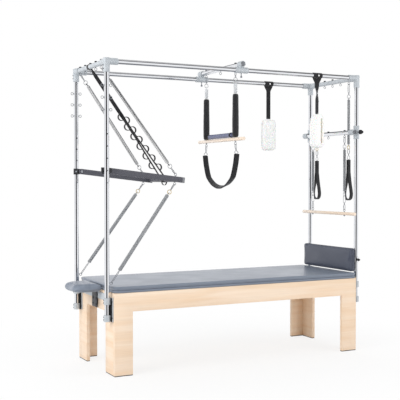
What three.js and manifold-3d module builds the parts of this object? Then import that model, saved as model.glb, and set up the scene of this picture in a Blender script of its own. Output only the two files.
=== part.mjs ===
// Pilates trapeze table: wooden bed, tube frame, push-through bar, trapeze and sprung hand pieces.
// Millimetres, +Z up, +X along the bed towards the backrest end, -Y the near side.
// The origin is on the floor, at the middle of the whole table's plan.

import * as THREE from 'three';
import { mergeVertices } from 'three/addons/utils/BufferGeometryUtils.js';
import Module from 'manifold-3d';

const wasm = await Module();
wasm.setup();

// Clearances
const seat = 0.3;
const cutOverrun = 2;
const weldOverlap = 1.5;
const weldDistance = 0.001;

// Bed
const bedLength = 2040;
const bedWidth = 740;
const bedHeight = 571;
const boardThickness = 25;
const sideApronHeight = 130;
const endApronHeight = 140;
const legSideWidth = 136;
const legEndWidth = 174;
const deckThickness = 18;

// Upholstery
const matThickness = 41;
const matCrown = 4;
const matCornerRadius = 48;
const padEdgeRadius = 12;
const tongueLength = 210;
const tongueWidth = 310;
const tongueThickness = 54;
const tongueTipRadius = 80;
const tongueJointRadius = 14;
const tongueCrown = 3;
const tongueBracketWidth = 100;
const tongueBracketDrop = 122;
const tongueBracketReach = 150;
const tongueBracketThickness = 6;

// Tubes and fittings of the frame
const tubeRadius = 17.5;
const tubeWall = 2;
const postOffset = 35;
const postInset = 50;
const frameRise = 1584;
const fittingWall = 5.5;
const fittingReach = 82;
const fittingDrop = 76;
const socketDepth = 58;
const setScrewRadius = 4;
const setScrewHead = 3;
const setScrewPitch = 24;

// Foot brackets on the end boards
const footBracketHeight = 164;
const footBracketInset = 31;
const footBracketFloor = 20;
const footCollarHeight = 40;
const footCollarWall = 6.5;
const footSleeveWall = 3.5;
const footPlateThickness = 8;
const footPlateWidth = 74;
const footWebWidth = 28;
const crossPlateThickness = 4;
const crossPlateHeight = 49;
const crossPlateDrop = 67;
const footBoltRadius = 5;
const footBoltHead = 4;
const footBoltInset = 26;

// Eyebolts, nuts, links and rings
const eyeOuterRadius = 11;
const eyeInnerRadius = 7.3;
const eyeThickness = 4;
const eyeStem = 4;
const eyeStemWidth = 6;
const nutRadius = 6.5;
const nutHeight = 7;
const linkWire = 3.5;
const linkWidth = 24;
const ringSize = 34;
const brassRingSize = 36;
const eyeEndInset = 100;
const eyeCount = 5;

// Holes and eyebolts up the left posts
const postPitch = 83;
const postHoleRadius = 5;
const holesBelowCount = 1;
const holesAboveCount = 3;
const eyeStepCount = 5;
const postEyeCount = 3;
const topPostEyeDrop = 164;
const lowEyeRise = 66;

// Push-through bar
const pivotInset = 27;
const barTiltDegrees = 6.5;
const armReach = 563;
const armEnd = 17;
const armHeight = 40;
const armThickness = 20;
const handleRadius = 15;
const armEyeInset = 55;
const pivotPinRadius = 5;
const pivotPinHead = 9;
const pivotPinHeadThickness = 5;
const bracketPlateThickness = 6;
const bracketBlockDepth = 16;
const bracketBlockHeight = 44;
const bracketBlockBack = 29;
const bracketBlockFront = 4;

// Coil springs
const coilWire = 2;
const upperCoilRadius = 9.5;
const lowerCoilRadius = 12;
const lightCoilRadius = 9.5;
const stubCoilRadius = 12;
const upperCoilCurls = 6;
const lowerCoilCurls = 6;
const lightCoilCurls = 5;
const stubCoilCurls = 2;
const stepsPerCurl = 8;
const coilSides = 5;
const hookLength = 58;
const wireLinkLength = 96;

// Safety strap between the left end bar and the handle
const strapSide = 20;
const strapThickness = 4;
const strapWidth = 20;
const strapGather = 6;
const strapLoopCount = 6;
const strapLoopHeight = 30;
const strapLoopLengthShare = 0.06;
const strapLoopFirstShare = 0.43;
const strapLoopLastShare = 0.87;
const strapLoopStaggerShare = 0.042;
const strapLoopSteps = 3;

// Cross clamps, carriage and its lock screws
const carriageGap = 9;
const clampWall = 5;
const clampSleeveLength = 106;
const clampHolderLength = 60;
const clampWebWidth = 24;
const lockStemRadius = 4;
const lockStemLength = 20;
const lockKnobRadius = 8;
const lockKnobLength = 13;

// Trapeze
const trapezeInset = 85;
const trapezeDrop = 547;
const sleeveTopDrop = 209;
const sleeveRadius = 22;
const sleeveEndRadius = 15;
const dowelRadius = 14;
const dowelEndRadius = 11;
const dowelEndLength = 4;
const trapezeDowelInset = 3;
const seatRollGap = 22;
const seatRollHeight = 38;
const seatRollDepth = 46;

// Sling below the trapeze dowel
const slingTopDrop = 110;
const slingDepth = 249;
const slingFlare = 15;
const slingThickness = 10;
const slingWidth = 46;
const slingHookLength = 56;
const slingRingWidth = 34;

// Adjustable bar on the right posts
const rightBarGap = 5;
const rightBarDrop = 429;
const knobRadius = 19;
const knobThickness = 24;
const knobLobes = 3;
const knobLobeShare = 0.12;
const knobStudRadius = 5;
const knobStudLength = 22;

// Roll-down bar
const rollBarRise = 506;
const rollBarInset = 8;
const rollHookLength = 66;
const rollLinkLength = 60;

// Hand loops
const handHookLength = 92;
const handSwivelLength = 58;
const handLoopDrop = 640;
const handLoopLength = 330;
const handLoopWidth = 76;
const handLoopBand = 30;
const handLoopOuterShares = [
  [0.25, 1], [0.25, 0.72], [0.6, 0.44], [0.93, 0.24], [1, 0.13], [0.78, 0.035], [0.3, 0],
];
const handLoopInnerShares = [
  [0.03, 0.66], [0.34, 0.42], [0.68, 0.235], [0.75, 0.135], [0.57, 0.06], [0.2, 0.028],
];

// Fleece cuffs on webbing straps
const nearCuffInset = 345;
const farCuffInset = 390;
const cuffDrop = 295;
const cuffHeight = 268;
const cuffWidth = 125;
const cuffDepth = 64;
const cuffSlotWidth = 16;
const cuffSlotHeight = 190;
const cuffStrapWidth = 42;
const cuffStrapThickness = 6;
const cuffChokeWidth = 84;
const cuffChokeDrop = 46;
const cuffStrapSteps = 6;
const cuffSteps = 10;

// Backrest between the right posts
const backrestHeight = 190;
const backrestInset = 30;
const backrestThickness = 40;
const backrestCrown = 3;
const backrestCornerRadius = 22;
const backrestLift = 3;
const backrestPlateThickness = 4;
const backrestPlateInset = 20;
const backrestSleeveHeight = 44;
const smallKnobRadius = 12;
const smallKnobThickness = 16;
const smallKnobStudLength = 9;
const smallKnobStudRadius = 4;

// Facets
const tubeSides = 12;
const fittingSides = 12;
const rodSides = 12;
const pinSides = 6;
const eyeSteps = 6;
const cornerSteps = 3;

// Places worked out from the sizes above
const halfWidth = bedWidth / 2;
const postSide = halfWidth - postInset;
const eyePitch = (2 * (postSide - eyeEndInset)) / (eyeCount - 1);
const trapezeDowelLength = bedWidth - 2 * trapezeDowelInset;
const rollBarLength = bedWidth - 2 * rollBarInset;
const backrestWidth = bedWidth - 2 * backrestInset;
const leftPost = -postOffset;
const rightPost = bedLength + postOffset;
const fittingRadius = tubeRadius + fittingWall;
const clampRadius = tubeRadius + clampWall;
const footCollarRadius = tubeRadius + footCollarWall;
const footSleeveRadius = tubeRadius + footSleeveWall;
const footBracketTop = bedHeight - footBracketInset;
const footBracketBottom = footBracketTop - footBracketHeight;
const crossPlateBottom = bedHeight - crossPlateDrop;
const lowEyeHeight = bedHeight + lowEyeRise;
const railHeight = bedHeight + frameRise;
const topPostEyeHeight = railHeight - topPostEyeDrop;
const pivotHeight = topPostEyeHeight - (eyeStepCount + postEyeCount - 1) * postPitch;
const armEyeReach = armReach - armEyeInset;
const carriagePlace = bedLength / 2;
const carriageLift = 2 * tubeRadius + carriageGap;
const carriageHeight = railHeight + carriageLift;
const trapezeDowelHeight = carriageHeight - trapezeDrop;
const sleeveTop = carriageHeight - sleeveTopDrop;
const trapezeSide = postSide - trapezeInset;
const seatRollLength = 2 * (trapezeSide - sleeveRadius - seatRollGap);
const slingSpread = trapezeSide + slingFlare;
const slingTop = trapezeDowelHeight - slingTopDrop;
const rightBarInset = 2 * tubeRadius + rightBarGap;
const rightBarHeight = railHeight - rightBarDrop;
const rollBarHeight = bedHeight + rollBarRise;
const handLoopTop = railHeight - handLoopDrop;
const nearCuffPlace = bedLength - nearCuffInset;
const farCuffPlace = bedLength - farCuffInset;
const cuffTop = railHeight - cuffDrop;
const tableLeft = -tongueLength - seat;
const tableRight = rightPost + fittingRadius + setScrewHead;
const matBottom = bedHeight + seat;
const matTop = matBottom + matThickness + matCrown;
const sides = [-1, 1];

// Finishes, as colour, roughness and metalness
const finishes = {
  maple: [0xecc9a2, 0.5, 0],
  deck: [0xd9b98f, 0.7, 0],
  vinyl: [0x8d95a3, 0.45, 0],
  vinylDark: [0x5d6272, 0.5, 0],
  chrome: [0xd8dadd, 0.12, 1],
  castSilver: [0xc6cbd0, 0.35, 0.7],
  blackSteel: [0x35363b, 0.45, 0.3],
  barPaint: [0x4a4a52, 0.4, 0.3],
  steel: [0xb4b7bb, 0.3, 1],
  webbing: [0x2a2a2d, 0.85, 0],
  plastic: [0x1e1f22, 0.5, 0],
  fleece: [0xf3f1ec, 0.95, 0],
};

const table = new THREE.Group();
table.position.x = -(tableLeft + tableRight) / 2;

// Adds one named mesh to the table
function piece(name, geometry, finish) {
  const [color, roughness, metalness] = finishes[finish];
  const material = new THREE.MeshStandardMaterial({ color, roughness, metalness });
  const mesh = new THREE.Mesh(geometry, material);
  mesh.name = name;
  table.add(mesh);
  return mesh;
}

// Geometry with merged corners and nothing but positions
function welded(geometry) {
  const bare = geometry.clone();
  bare.deleteAttribute('normal');
  bare.deleteAttribute('uv');
  return mergeVertices(bare, weldDistance);
}

function solidOf(geometry) {
  const bare = welded(geometry);
  const vertProperties = new Float32Array(bare.attributes.position.array);
  const triVerts = new Uint32Array(bare.index.array);
  return new wasm.Manifold(new wasm.Mesh({ numProp: 3, vertProperties, triVerts }));
}

function geometryOf(solid) {
  const mesh = solid.getMesh();
  const geometry = new THREE.BufferGeometry();
  geometry.setAttribute('position', new THREE.BufferAttribute(new Float32Array(mesh.vertProperties), 3));
  geometry.setIndex(new THREE.BufferAttribute(new Uint32Array(mesh.triVerts), 1));
  return geometry;
}

// Joins the first list of geometries and cuts the second list out of them
function joined(parts, cuts = []) {
  let solid = solidOf(parts[0]);
  parts.slice(1).forEach((part) => {
    solid = solid.add(solidOf(part));
  });
  cuts.forEach((cut) => {
    solid = solid.subtract(solidOf(cut));
  });
  return geometryOf(solid);
}

function mirroredY(geometry) {
  const mirror = welded(geometry);
  mirror.scale(1, -1, 1);
  const index = mirror.index.array;
  for (let i = 0; i < index.length; i += 3) {
    const first = index[i];
    index[i] = index[i + 1];
    index[i + 1] = first;
  }
  return mirror;
}

// A box given by its lowest and highest X, Y and Z
function block([x0, x1], [y0, y1], [z0, z1]) {
  const box = new THREE.BoxGeometry(x1 - x0, y1 - y0, z1 - z0);
  return box.translate((x0 + x1) / 2, (y0 + y1) / 2, (z0 + z1) / 2);
}

// A profile of [radius, height] points turned about Z
function turned(profile, sideCount) {
  const points = profile.map(([radius, height]) => new THREE.Vector2(radius, height));
  return new THREE.LatheGeometry(points, sideCount).rotateX(Math.PI / 2);
}

function rod(radius, bottom, top, sideCount = rodSides) {
  return turned([[0, bottom], [radius, bottom], [radius, top], [0, top]], sideCount);
}

function tube(radius, wall, bottom, top, sideCount = tubeSides) {
  const inner = radius - wall;
  return turned([[inner, bottom], [radius, bottom], [radius, top], [inner, top], [inner, bottom]], sideCount);
}

// Turns geometry built along Z so that it runs along X or along Y
function alongX(geometry) {
  return geometry.rotateY(Math.PI / 2);
}

function alongY(geometry) {
  return geometry.rotateX(-Math.PI / 2);
}

// Radius of a faceted bore that clears a round of the given radius
function boreRadius(radius, sideCount = fittingSides) {
  return (radius + seat) / Math.cos(Math.PI / sideCount);
}

function outline(points) {
  return points.map(([u, v]) => new THREE.Vector2(u, v));
}

function outlineShape(outer, inner = []) {
  const shape = new THREE.Shape(outline(outer));
  inner.forEach((hole) => shape.holes.push(new THREE.Path(outline(hole))));
  return shape;
}

function slab(shape, thickness) {
  const settings = { depth: thickness, bevelEnabled: false, curveSegments: 1 };
  const geometry = new THREE.ExtrudeGeometry(shape, settings);
  return geometry.translate(0, 0, -thickness / 2);
}

// Slabs whose outline lies in the XZ plane or in the YZ plane, centred on the third axis
function slabY(shape, thickness) {
  return slab(shape, thickness).rotateX(Math.PI / 2);
}

function slabX(shape, thickness) {
  const basis = new THREE.Matrix4();
  basis.makeBasis(new THREE.Vector3(0, 1, 0), new THREE.Vector3(0, 0, 1), new THREE.Vector3(1, 0, 0));
  return slab(shape, thickness).applyMatrix4(basis);
}

// Points round a circle, with flats square to the axes and the flats at the given radius
function flatCircle(radius, count, centre = [0, 0]) {
  const corner = radius / Math.cos(Math.PI / count);
  return Array.from({ length: count }, (_, i) => {
    const angle = ((i + 0.5) / count) * 2 * Math.PI;
    return [centre[0] + corner * Math.cos(angle), centre[1] + corner * Math.sin(angle)];
  });
}

// A stretched round outline of the given half width, from 0 to its length along v, drawn in by an inset.
// Its flats lie on the full width and length.
function longRound(half, length, inset, steps = 4) {
  const corner = (half - inset) / Math.cos(Math.PI / (2 * steps));
  const ends = [[length - half, 0], [half, Math.PI]];
  return ends.flatMap(([height, start]) => Array.from({ length: steps }, (_, step) => {
    const angle = start + ((2 * step + 1) / (2 * steps)) * Math.PI;
    return [corner * Math.cos(angle), height + corner * Math.sin(angle)];
  }));
}

// A chain link or ring: a flat stretched loop that runs from 0 to its length along Z, in the XZ plane
function linkGeometry(length, width, wire) {
  const outer = longRound(width / 2, length, 0);
  const inner = longRound(width / 2, length, wire);
  return slabY(outlineShape(outer, [inner]), wire);
}

// An eye with its stem: eye centre at 0, stem end above it along Z, in the XZ plane
const eyeDrop = eyeOuterRadius + eyeStem;
function eyeGeometry() {
  const half = eyeStemWidth / 2;
  const lean = Math.asin(half / eyeOuterRadius);
  const turn = 2 * Math.PI - 2 * lean;
  const ring = Array.from({ length: eyeSteps + 1 }, (_, i) => {
    const angle = Math.PI / 2 + lean + (i / eyeSteps) * turn;
    return [eyeOuterRadius * Math.cos(angle), eyeOuterRadius * Math.sin(angle)];
  });
  const outer = [...ring, [half, eyeDrop], [-half, eyeDrop]];
  return slabY(outlineShape(outer, [flatCircle(eyeInnerRadius, eyeSteps)]), eyeThickness);
}

function nutGeometry() {
  return rod(nutRadius, 0, nutHeight, 6);
}

// A sprung coil as one wire along Z: straight ends, and a helix that swells to its full radius
function coilGeometry(length, radius, wire, curls, name) {
  const lead = 2 * wire;
  const steps = curls * stepsPerCurl;
  const path = [new THREE.Vector3(0, 0, 0), new THREE.Vector3(0, 0, lead)];
  const rise = (length - 2 * lead) / (steps + 2);
  for (let i = 0; i <= steps; i += 1) {
    const angle = (i / stepsPerCurl) * 2 * Math.PI;
    const swell = Math.min(1, (i + 1) / 3, (steps - i + 1) / 3);
    path.push(new THREE.Vector3(
      radius * swell * Math.cos(angle),
      radius * swell * Math.sin(angle),
      lead + rise * (i + 1),
    ));
  }
  path.push(new THREE.Vector3(0, 0, length - lead), new THREE.Vector3(0, 0, length));
  printGap(path, wire, name);
  return wireGeometry(path, wire);
}

// Least gap between parts of the wire that are half a curl or more apart
function printGap(path, wire, name) {
  let least = Infinity;
  for (let i = 0; i < path.length; i += 1) {
    for (let j = i + stepsPerCurl / 2 + 1; j < path.length; j += 1) {
      least = Math.min(least, path[i].distanceTo(path[j]) - 2 * wire);
    }
  }
  console.log(`${name}: least gap of the wire to itself ${least.toFixed(1)} mm`);
}

// A closed wire of the given radius along a list of points, with flat ends
function wireGeometry(path, radius) {
  const positions = [];
  const index = [];
  const tangents = path.map((point, i) => {
    const before = path[Math.max(0, i - 1)];
    const after = path[Math.min(path.length - 1, i + 1)];
    return after.clone().sub(before).normalize();
  });
  let normal = new THREE.Vector3(1, 0, 0);
  path.forEach((point, i) => {
    normal = normal.clone().addScaledVector(tangents[i], -normal.dot(tangents[i])).normalize();
    const side = new THREE.Vector3().crossVectors(tangents[i], normal);
    for (let k = 0; k < coilSides; k += 1) {
      const angle = (k / coilSides) * 2 * Math.PI;
      const corner = point.clone();
      corner.addScaledVector(normal, radius * Math.cos(angle));
      corner.addScaledVector(side, radius * Math.sin(angle));
      positions.push(corner.x, corner.y, corner.z);
    }
  });
  for (let i = 0; i + 1 < path.length; i += 1) {
    for (let k = 0; k < coilSides; k += 1) {
      const a = i * coilSides + k;
      const b = i * coilSides + ((k + 1) % coilSides);
      index.push(a, b, b + coilSides, a, b + coilSides, a + coilSides);
    }
  }
  const last = (path.length - 1) * coilSides;
  for (let k = 1; k + 1 < coilSides; k += 1) {
    index.push(0, k + 1, k, last, last + k, last + k + 1);
  }
  const geometry = new THREE.BufferGeometry();
  geometry.setAttribute('position', new THREE.Float32BufferAttribute(positions, 3));
  geometry.setIndex(index);
  return geometry;
}

function link(length, width = linkWidth, wire = linkWire) {
  return { length, width, wire };
}

// A coil, with the quarter turns between the links at its two ends
function coil(radius, curls, name, quarters = 0) {
  return { coil: true, radius, curls, name, quarters };
}

// Room between two neighbours of a chain, which are welded where they meet:
// links pass through each other, a coil meets a link end on
function chainStep(before, after) {
  if (before.coil || after.coil) {
    return -weldOverlap;
  }
  return weldOverlap - before.wire - after.wire;
}

// Links, rings and coils laid from start to end as one piece, each next link a quarter turn on.
// The item without a length takes what the others leave.
function chainGeometry(start, end, startRest, endRest, items) {
  const along = end.clone().sub(start);
  const span = along.length() - startRest - endRest;
  let fixed = 0;
  items.forEach((item, i) => {
    fixed += item.length ?? 0;
    fixed += i > 0 ? chainStep(items[i - 1], item) : 0;
  });
  const parts = [];
  let place = startRest;
  let quarter = 0;
  items.forEach((item, i) => {
    place += i > 0 ? chainStep(items[i - 1], item) : 0;
    const length = item.length ?? span - fixed;
    const part = item.coil
      ? coilGeometry(length, item.radius, coilWire, item.curls, item.name)
      : linkGeometry(length, item.width, item.wire).rotateZ((quarter * Math.PI) / 2);
    parts.push(part.translate(0, 0, place));
    place += length;
    quarter += item.coil ? item.quarters : 1;
  });
  const zAxis = along.clone().normalize();
  const xAxis = new THREE.Vector3(0, 1, 0).addScaledVector(zAxis, -zAxis.y).normalize();
  const yAxis = new THREE.Vector3().crossVectors(zAxis, xAxis);
  const frame = new THREE.Matrix4().makeBasis(xAxis, yAxis, zAxis).setPosition(start);
  return joined(parts).applyMatrix4(frame);
}

// Distance from an eye's centre to the near end of a link that hangs in it
const eyeRest = eyeInnerRadius - 3 * seat - linkWire;

// One ring of points round a pad with its own radius at each corner
function padRing(halfLength, halfWide, radii, inset, height) {
  const corners = [[1, 1], [-1, 1], [-1, -1], [1, -1]];
  return corners.flatMap(([sx, sy], corner) => {
    const radius = Math.max(radii[corner] - inset, weldOverlap);
    const cx = sx * (halfLength - inset - radius);
    const cy = sy * (halfWide - inset - radius);
    return Array.from({ length: cornerSteps + 1 }, (_, step) => {
      const angle = (corner + step / cornerSteps) * (Math.PI / 2);
      return [cx + radius * Math.cos(angle), cy + radius * Math.sin(angle), height];
    });
  });
}

// Height of a cushion's inner ring, as a share of its crown
const crownShoulderShare = 0.7;

// Inset and height of each ring of a cushion, as shares of its edge radius and its thickness
const cushionRingShares = [[0.35, 0], [0.05, 0.16], [0, 0.45], [0.12, 0.76], [0.5, 0.94], [1.3, 1]];

// A crowned cushion whose sides draw in above and below their middle; bottom face at height 0
function cushionGeometry(length, width, thickness, crown, radii) {
  const rings = cushionRingShares.map(([inset, height]) => (
    padRing(length / 2, width / 2, radii, inset * padEdgeRadius, height * thickness)
  ));
  const inner = Math.min(length, width) / 4;
  rings.push(padRing(length / 2, width / 2, radii, inner, thickness + crown * crownShoulderShare));
  const count = rings[0].length;
  const positions = rings.flat(2);
  const index = [];
  for (let r = 0; r + 1 < rings.length; r += 1) {
    for (let k = 0; k < count; k += 1) {
      const a = r * count + k;
      const b = r * count + ((k + 1) % count);
      index.push(a, b, b + count, a, b + count, a + count);
    }
  }
  const bottom = positions.length / 3;
  positions.push(0, 0, 0, 0, 0, thickness + crown);
  const lastRing = (rings.length - 1) * count;
  for (let k = 0; k < count; k += 1) {
    const next = (k + 1) % count;
    index.push(bottom, next, k, bottom + 1, lastRing + k, lastRing + next);
  }
  const geometry = new THREE.BufferGeometry();
  geometry.setAttribute('position', new THREE.Float32BufferAttribute(positions, 3));
  geometry.setIndex(index);
  return geometry;
}

// Wooden bed: two long panels and two end panels, each cut out between its legs, and the deck inside them

const flanks = [['near', -1], ['far', 1]];
const ends = [['left', leftPost, 0, 1], ['right', rightPost, bedLength, -1]];

// A panel's face: two legs joined by an apron, from its start to its end along u
function trestleShape(start, end, leg, apron) {
  const under = bedHeight - apron;
  return outlineShape([
    [start, 0], [start + leg, 0], [start + leg, under], [end - leg, under],
    [end - leg, 0], [end, 0], [end, bedHeight], [start, bedHeight],
  ]);
}

function addBed() {
  const sideShape = trestleShape(0, bedLength, legSideWidth, sideApronHeight);
  flanks.forEach(([flank, side]) => {
    const panel = slabY(sideShape, boardThickness);
    piece(`side_panel_${flank}`, panel, 'maple').position.y = side * (halfWidth - boardThickness / 2);
  });
  const endHalf = halfWidth - boardThickness - seat;
  const endLeg = legEndWidth - boardThickness - seat;
  const endShape = trestleShape(-endHalf, endHalf, endLeg, endApronHeight);
  ends.forEach(([end, post, face, inward]) => {
    const panel = slabX(endShape, boardThickness);
    piece(`end_panel_${end}`, panel, 'maple').position.x = face + (inward * boardThickness) / 2;
  });
  const gap = boardThickness + seat;
  const deck = block([gap, bedLength - gap], [-endHalf, endHalf], [bedHeight - deckThickness, bedHeight]);
  piece('deck_board', deck, 'deck');
}

// Mat, tongue pad and the bracket under the tongue

function addUpholstery() {
  const matRadii = Array(4).fill(matCornerRadius);
  const mat = cushionGeometry(bedLength, bedWidth, matThickness, matCrown, matRadii);
  piece('mat', mat.translate(bedLength / 2, 0, matBottom), 'vinyl');
  const tongueRadii = [tongueJointRadius, tongueTipRadius, tongueTipRadius, tongueJointRadius];
  const tongueBottom = matBottom + matThickness - tongueThickness;
  const tongue = cushionGeometry(tongueLength, tongueWidth, tongueThickness, tongueCrown, tongueRadii);
  piece('tongue_pad', tongue.translate(-seat - tongueLength / 2, 0, tongueBottom), 'vinyl');

  const back = -crossPlateThickness - 2 * seat;
  const top = tongueBottom - seat;
  const front = back - tongueBracketThickness;
  const under = top - tongueBracketThickness;
  const reach = back - tongueBracketReach;
  const bracket = outlineShape([
    [back, top], [reach, top], [reach, under], [front, under],
    [front, top - tongueBracketDrop], [back, top - tongueBracketDrop],
  ]);
  piece('tongue_bracket', slabY(bracket, tongueBracketWidth), 'blackSteel');
}

// Posts, rails, end bars and their corner fittings

function addFrame() {
  const postBottom = footBracketBottom + footBracketFloor + seat;
  const postTop = railHeight - tubeRadius - seat;
  const post = tube(tubeRadius, tubeWall, postBottom, postTop);
  const leftPostGeometry = joined([post, ...postEyes()], postHoles());
  ends.forEach(([end, x]) => {
    flanks.forEach(([flank, side]) => {
      const geometry = end === 'left' ? leftPostGeometry : post;
      piece(`post_${end}_${flank}`, geometry, 'chrome').position.set(x, side * postSide, 0);
    });
  });
  const railStart = leftPost + fittingReach - socketDepth;
  const railEnd = rightPost - fittingReach + socketDepth;
  flanks.forEach(([flank, side]) => {
    const rail = alongX(tube(tubeRadius, tubeWall, railStart, railEnd));
    piece(`rail_${flank}`, rail, 'chrome').position.set(0, side * postSide, railHeight);
  });
  const barHalf = postSide - fittingReach + socketDepth;
  const places = eyePlaces(eyeCount, eyePitch);
  ends.forEach(([end, x, face, inward]) => {
    const bar = alongY(tube(tubeRadius, tubeWall, -barHalf, barHalf));
    const mesh = piece(`end_bar_${end}`, joined([bar, ...barEyebolts(places, tubeRadius)]), 'castSilver');
    mesh.position.set(x, 0, railHeight);
    flanks.forEach(([flank, side]) => {
      const fitting = piece(`corner_fitting_${end}_${flank}`, cornerFitting(inward, -side), 'castSilver');
      fitting.position.set(x, side * postSide, railHeight);
    });
    piece(`foot_bracket_${end}`, footBracketPair(x, face, inward), 'castSilver');
  });
}

function postHoles() {
  const count = holesBelowCount + 1 + holesAboveCount;
  return Array.from({ length: count }, (_, i) => {
    const height = pivotHeight + (i - holesBelowCount) * postPitch;
    const reach = tubeRadius + cutOverrun;
    return alongY(rod(postHoleRadius, -reach, reach, 6)).translate(0, 0, height);
  });
}

// Three-way fitting: sockets down the post, along the rail and along the end bar, and its two set screws
function cornerFitting(inward, sideward) {
  const bore = boreRadius(tubeRadius);
  const start = fittingReach - socketDepth - seat;
  const body = rod(fittingRadius, -fittingDrop, fittingRadius, fittingSides);
  const railSocket = alongX(rod(fittingRadius, 0, fittingReach, fittingSides));
  const barSocket = alongY(rod(fittingRadius, 0, fittingReach, fittingSides));
  const postBore = rod(bore, -fittingDrop - cutOverrun, -tubeRadius, fittingSides);
  const railBore = alongX(rod(bore, start, fittingReach + cutOverrun, fittingSides));
  const barBore = alongY(rod(bore, start, fittingReach + cutOverrun, fittingSides));
  if (inward < 0) {
    railSocket.rotateZ(Math.PI);
    railBore.rotateZ(Math.PI);
  }
  if (sideward < 0) {
    barSocket.rotateZ(Math.PI);
    barBore.rotateZ(Math.PI);
  }
  const screws = [0, 1].map((row) => {
    const head = fittingRadius + setScrewHead;
    const screw = alongX(rod(setScrewRadius, fittingRadius - weldOverlap, head, pinSides));
    screw.rotateZ(inward > 0 ? Math.PI : 0);
    return screw.translate(0, 0, -fittingDrop + setScrewPitch * (row + 1));
  });
  return joined([body, railSocket, barSocket, ...screws], [postBore, railBore, barBore]);
}

// Two collared sockets on plates that bolt to an end of the bed, with the cross plate that joins them
function footBracketPair(x, face, inward) {
  const inner = postSide - footPlateWidth / 2 + weldOverlap;
  const outer = face - inward * (crossPlateThickness + seat);
  const near = face - inward * seat;
  const cross = block(
    [Math.min(outer, near), Math.max(outer, near)],
    [-inner, inner],
    [crossPlateBottom, crossPlateBottom + crossPlateHeight],
  );
  const plate = footPlateWidth / 2 - footBoltRadius - seat;
  const sockets = sides.map((side) => footBracket(x, face, inward).translate(0, side * postSide, 0));
  const boltRises = [footBoltInset, footBracketHeight - footBoltInset];
  const bolts = sides.flatMap((side) => boltRises.map((rise) => {
    const head = alongX(rod(footBoltRadius, -weldOverlap, footBoltHead, pinSides));
    head.rotateZ(inward > 0 ? Math.PI : 0);
    const out = face - inward * (footPlateThickness + seat);
    return head.translate(out, side * (postSide - plate), footBracketBottom + rise);
  }));
  return joined([cross, ...sockets, ...bolts]);
}

function footBracket(x, face, inward) {
  const low = footBracketBottom;
  const high = footBracketTop;
  const sleeve = turned([
    [0, low], [footCollarRadius, low], [footCollarRadius, low + footCollarHeight],
    [footSleeveRadius, low + footCollarHeight], [footSleeveRadius, high - footCollarHeight],
    [footCollarRadius, high - footCollarHeight], [footCollarRadius, high], [0, high],
  ], rodSides).translate(x, 0, 0);
  const plateOut = face - inward * (footPlateThickness + seat);
  const plateIn = face - inward * seat;
  const plate = block(
    [Math.min(plateOut, plateIn), Math.max(plateOut, plateIn)],
    [-footPlateWidth / 2, footPlateWidth / 2],
    [low, high],
  );
  const webIn = plateOut + inward * weldOverlap;
  const web = block(
    [Math.min(x, webIn), Math.max(x, webIn)],
    [-footWebWidth / 2, footWebWidth / 2],
    [low, high],
  );
  const bore = rod(boreRadius(tubeRadius), low + footBracketFloor, high + cutOverrun, tubeSides);
  return joined([sleeve, plate, web], [bore.translate(x, 0, 0)]);
}

// Sideways places of evenly spaced eyebolts about the middle of a bar
function eyePlaces(count, pitch) {
  return Array.from({ length: count }, (_, i) => (i - (count - 1) / 2) * pitch);
}

const eyeBelowBar = tubeRadius + eyeDrop - weldOverlap;

// Eyes under a bar along Y and nuts on top of it, welded to a bar of the given radius about the origin
function barEyebolts(places, radius) {
  return places.flatMap((y) => [
    eyeGeometry().translate(0, y, weldOverlap - radius - eyeDrop),
    nutGeometry().translate(0, y, radius - weldOverlap),
  ]);
}

// Eyes that stand out of a left post along X, with the post's axis at the origin
function postEyes() {
  const eyes = [];
  for (let i = 0; i < postEyeCount; i += 1) {
    const height = pivotHeight + (eyeStepCount + i) * postPitch;
    eyes.push(postEye(1, height), postEye(-1, height));
  }
  return [...eyes, postEye(1, lowEyeHeight)];
}

function postEye(outward, height) {
  const eye = eyeGeometry().rotateY((-outward * Math.PI) / 2);
  return eye.translate(outward * eyeBelowBar, 0, height);
}

// Push-through bar, its hinge brackets, springs and safety strap

const pivotPlace = leftPost + pivotInset;
const bracketFace = postSide - tubeRadius - seat;
const armOuter = bracketFace - bracketPlateThickness - seat;
const armMiddle = armOuter - armThickness / 2;
const barTilt = THREE.MathUtils.degToRad(barTiltDegrees);

// A point of the push-through bar, from its place along and above the arm, in the table's frame
function onBar(along, y, above) {
  const x = pivotPlace + along * Math.cos(barTilt) + above * Math.sin(barTilt);
  const z = pivotHeight - along * Math.sin(barTilt) + above * Math.cos(barTilt);
  return new THREE.Vector3(x, y, z);
}

const eyeAboveArm = armHeight / 2 + eyeDrop - weldOverlap;

function addPushThroughBar() {
  const near = bracketGeometry();
  piece('ptb_bracket_near', near, 'blackSteel');
  piece('ptb_bracket_far', mirroredY(near), 'blackSteel');
  const half = armHeight / 2;
  const end = armReach + armEnd;
  const roundEnd = Array.from({ length: 5 }, (_, i) => {
    const angle = Math.PI / 2 + (i / 4) * Math.PI;
    return [half * Math.cos(angle), half * Math.sin(angle)];
  });
  const bore = flatCircle(pivotPinRadius + seat, pinSides);
  const armShape = outlineShape([[end, half], ...roundEnd, [end, -half]], [bore]);
  const parts = sides.flatMap((side) => [
    slabY(armShape, armThickness).translate(0, side * armMiddle, 0),
    eyeGeometry().rotateX(Math.PI).translate(armEyeReach, side * armMiddle, eyeAboveArm),
    eyeGeometry().translate(armEyeReach, side * armMiddle, -eyeAboveArm),
  ]);
  const handleHalf = armMiddle - armThickness / 2 + weldOverlap;
  const handle = alongY(rod(handleRadius, -handleHalf, handleHalf)).translate(armReach, 0, 0);
  const bar = piece('push_through_bar', joined([handle, ...parts]), 'barPaint');
  bar.position.set(pivotPlace, 0, pivotHeight);
  bar.rotation.y = barTilt;
  addBarSprings();
  addSafetyStrap();
}

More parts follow.
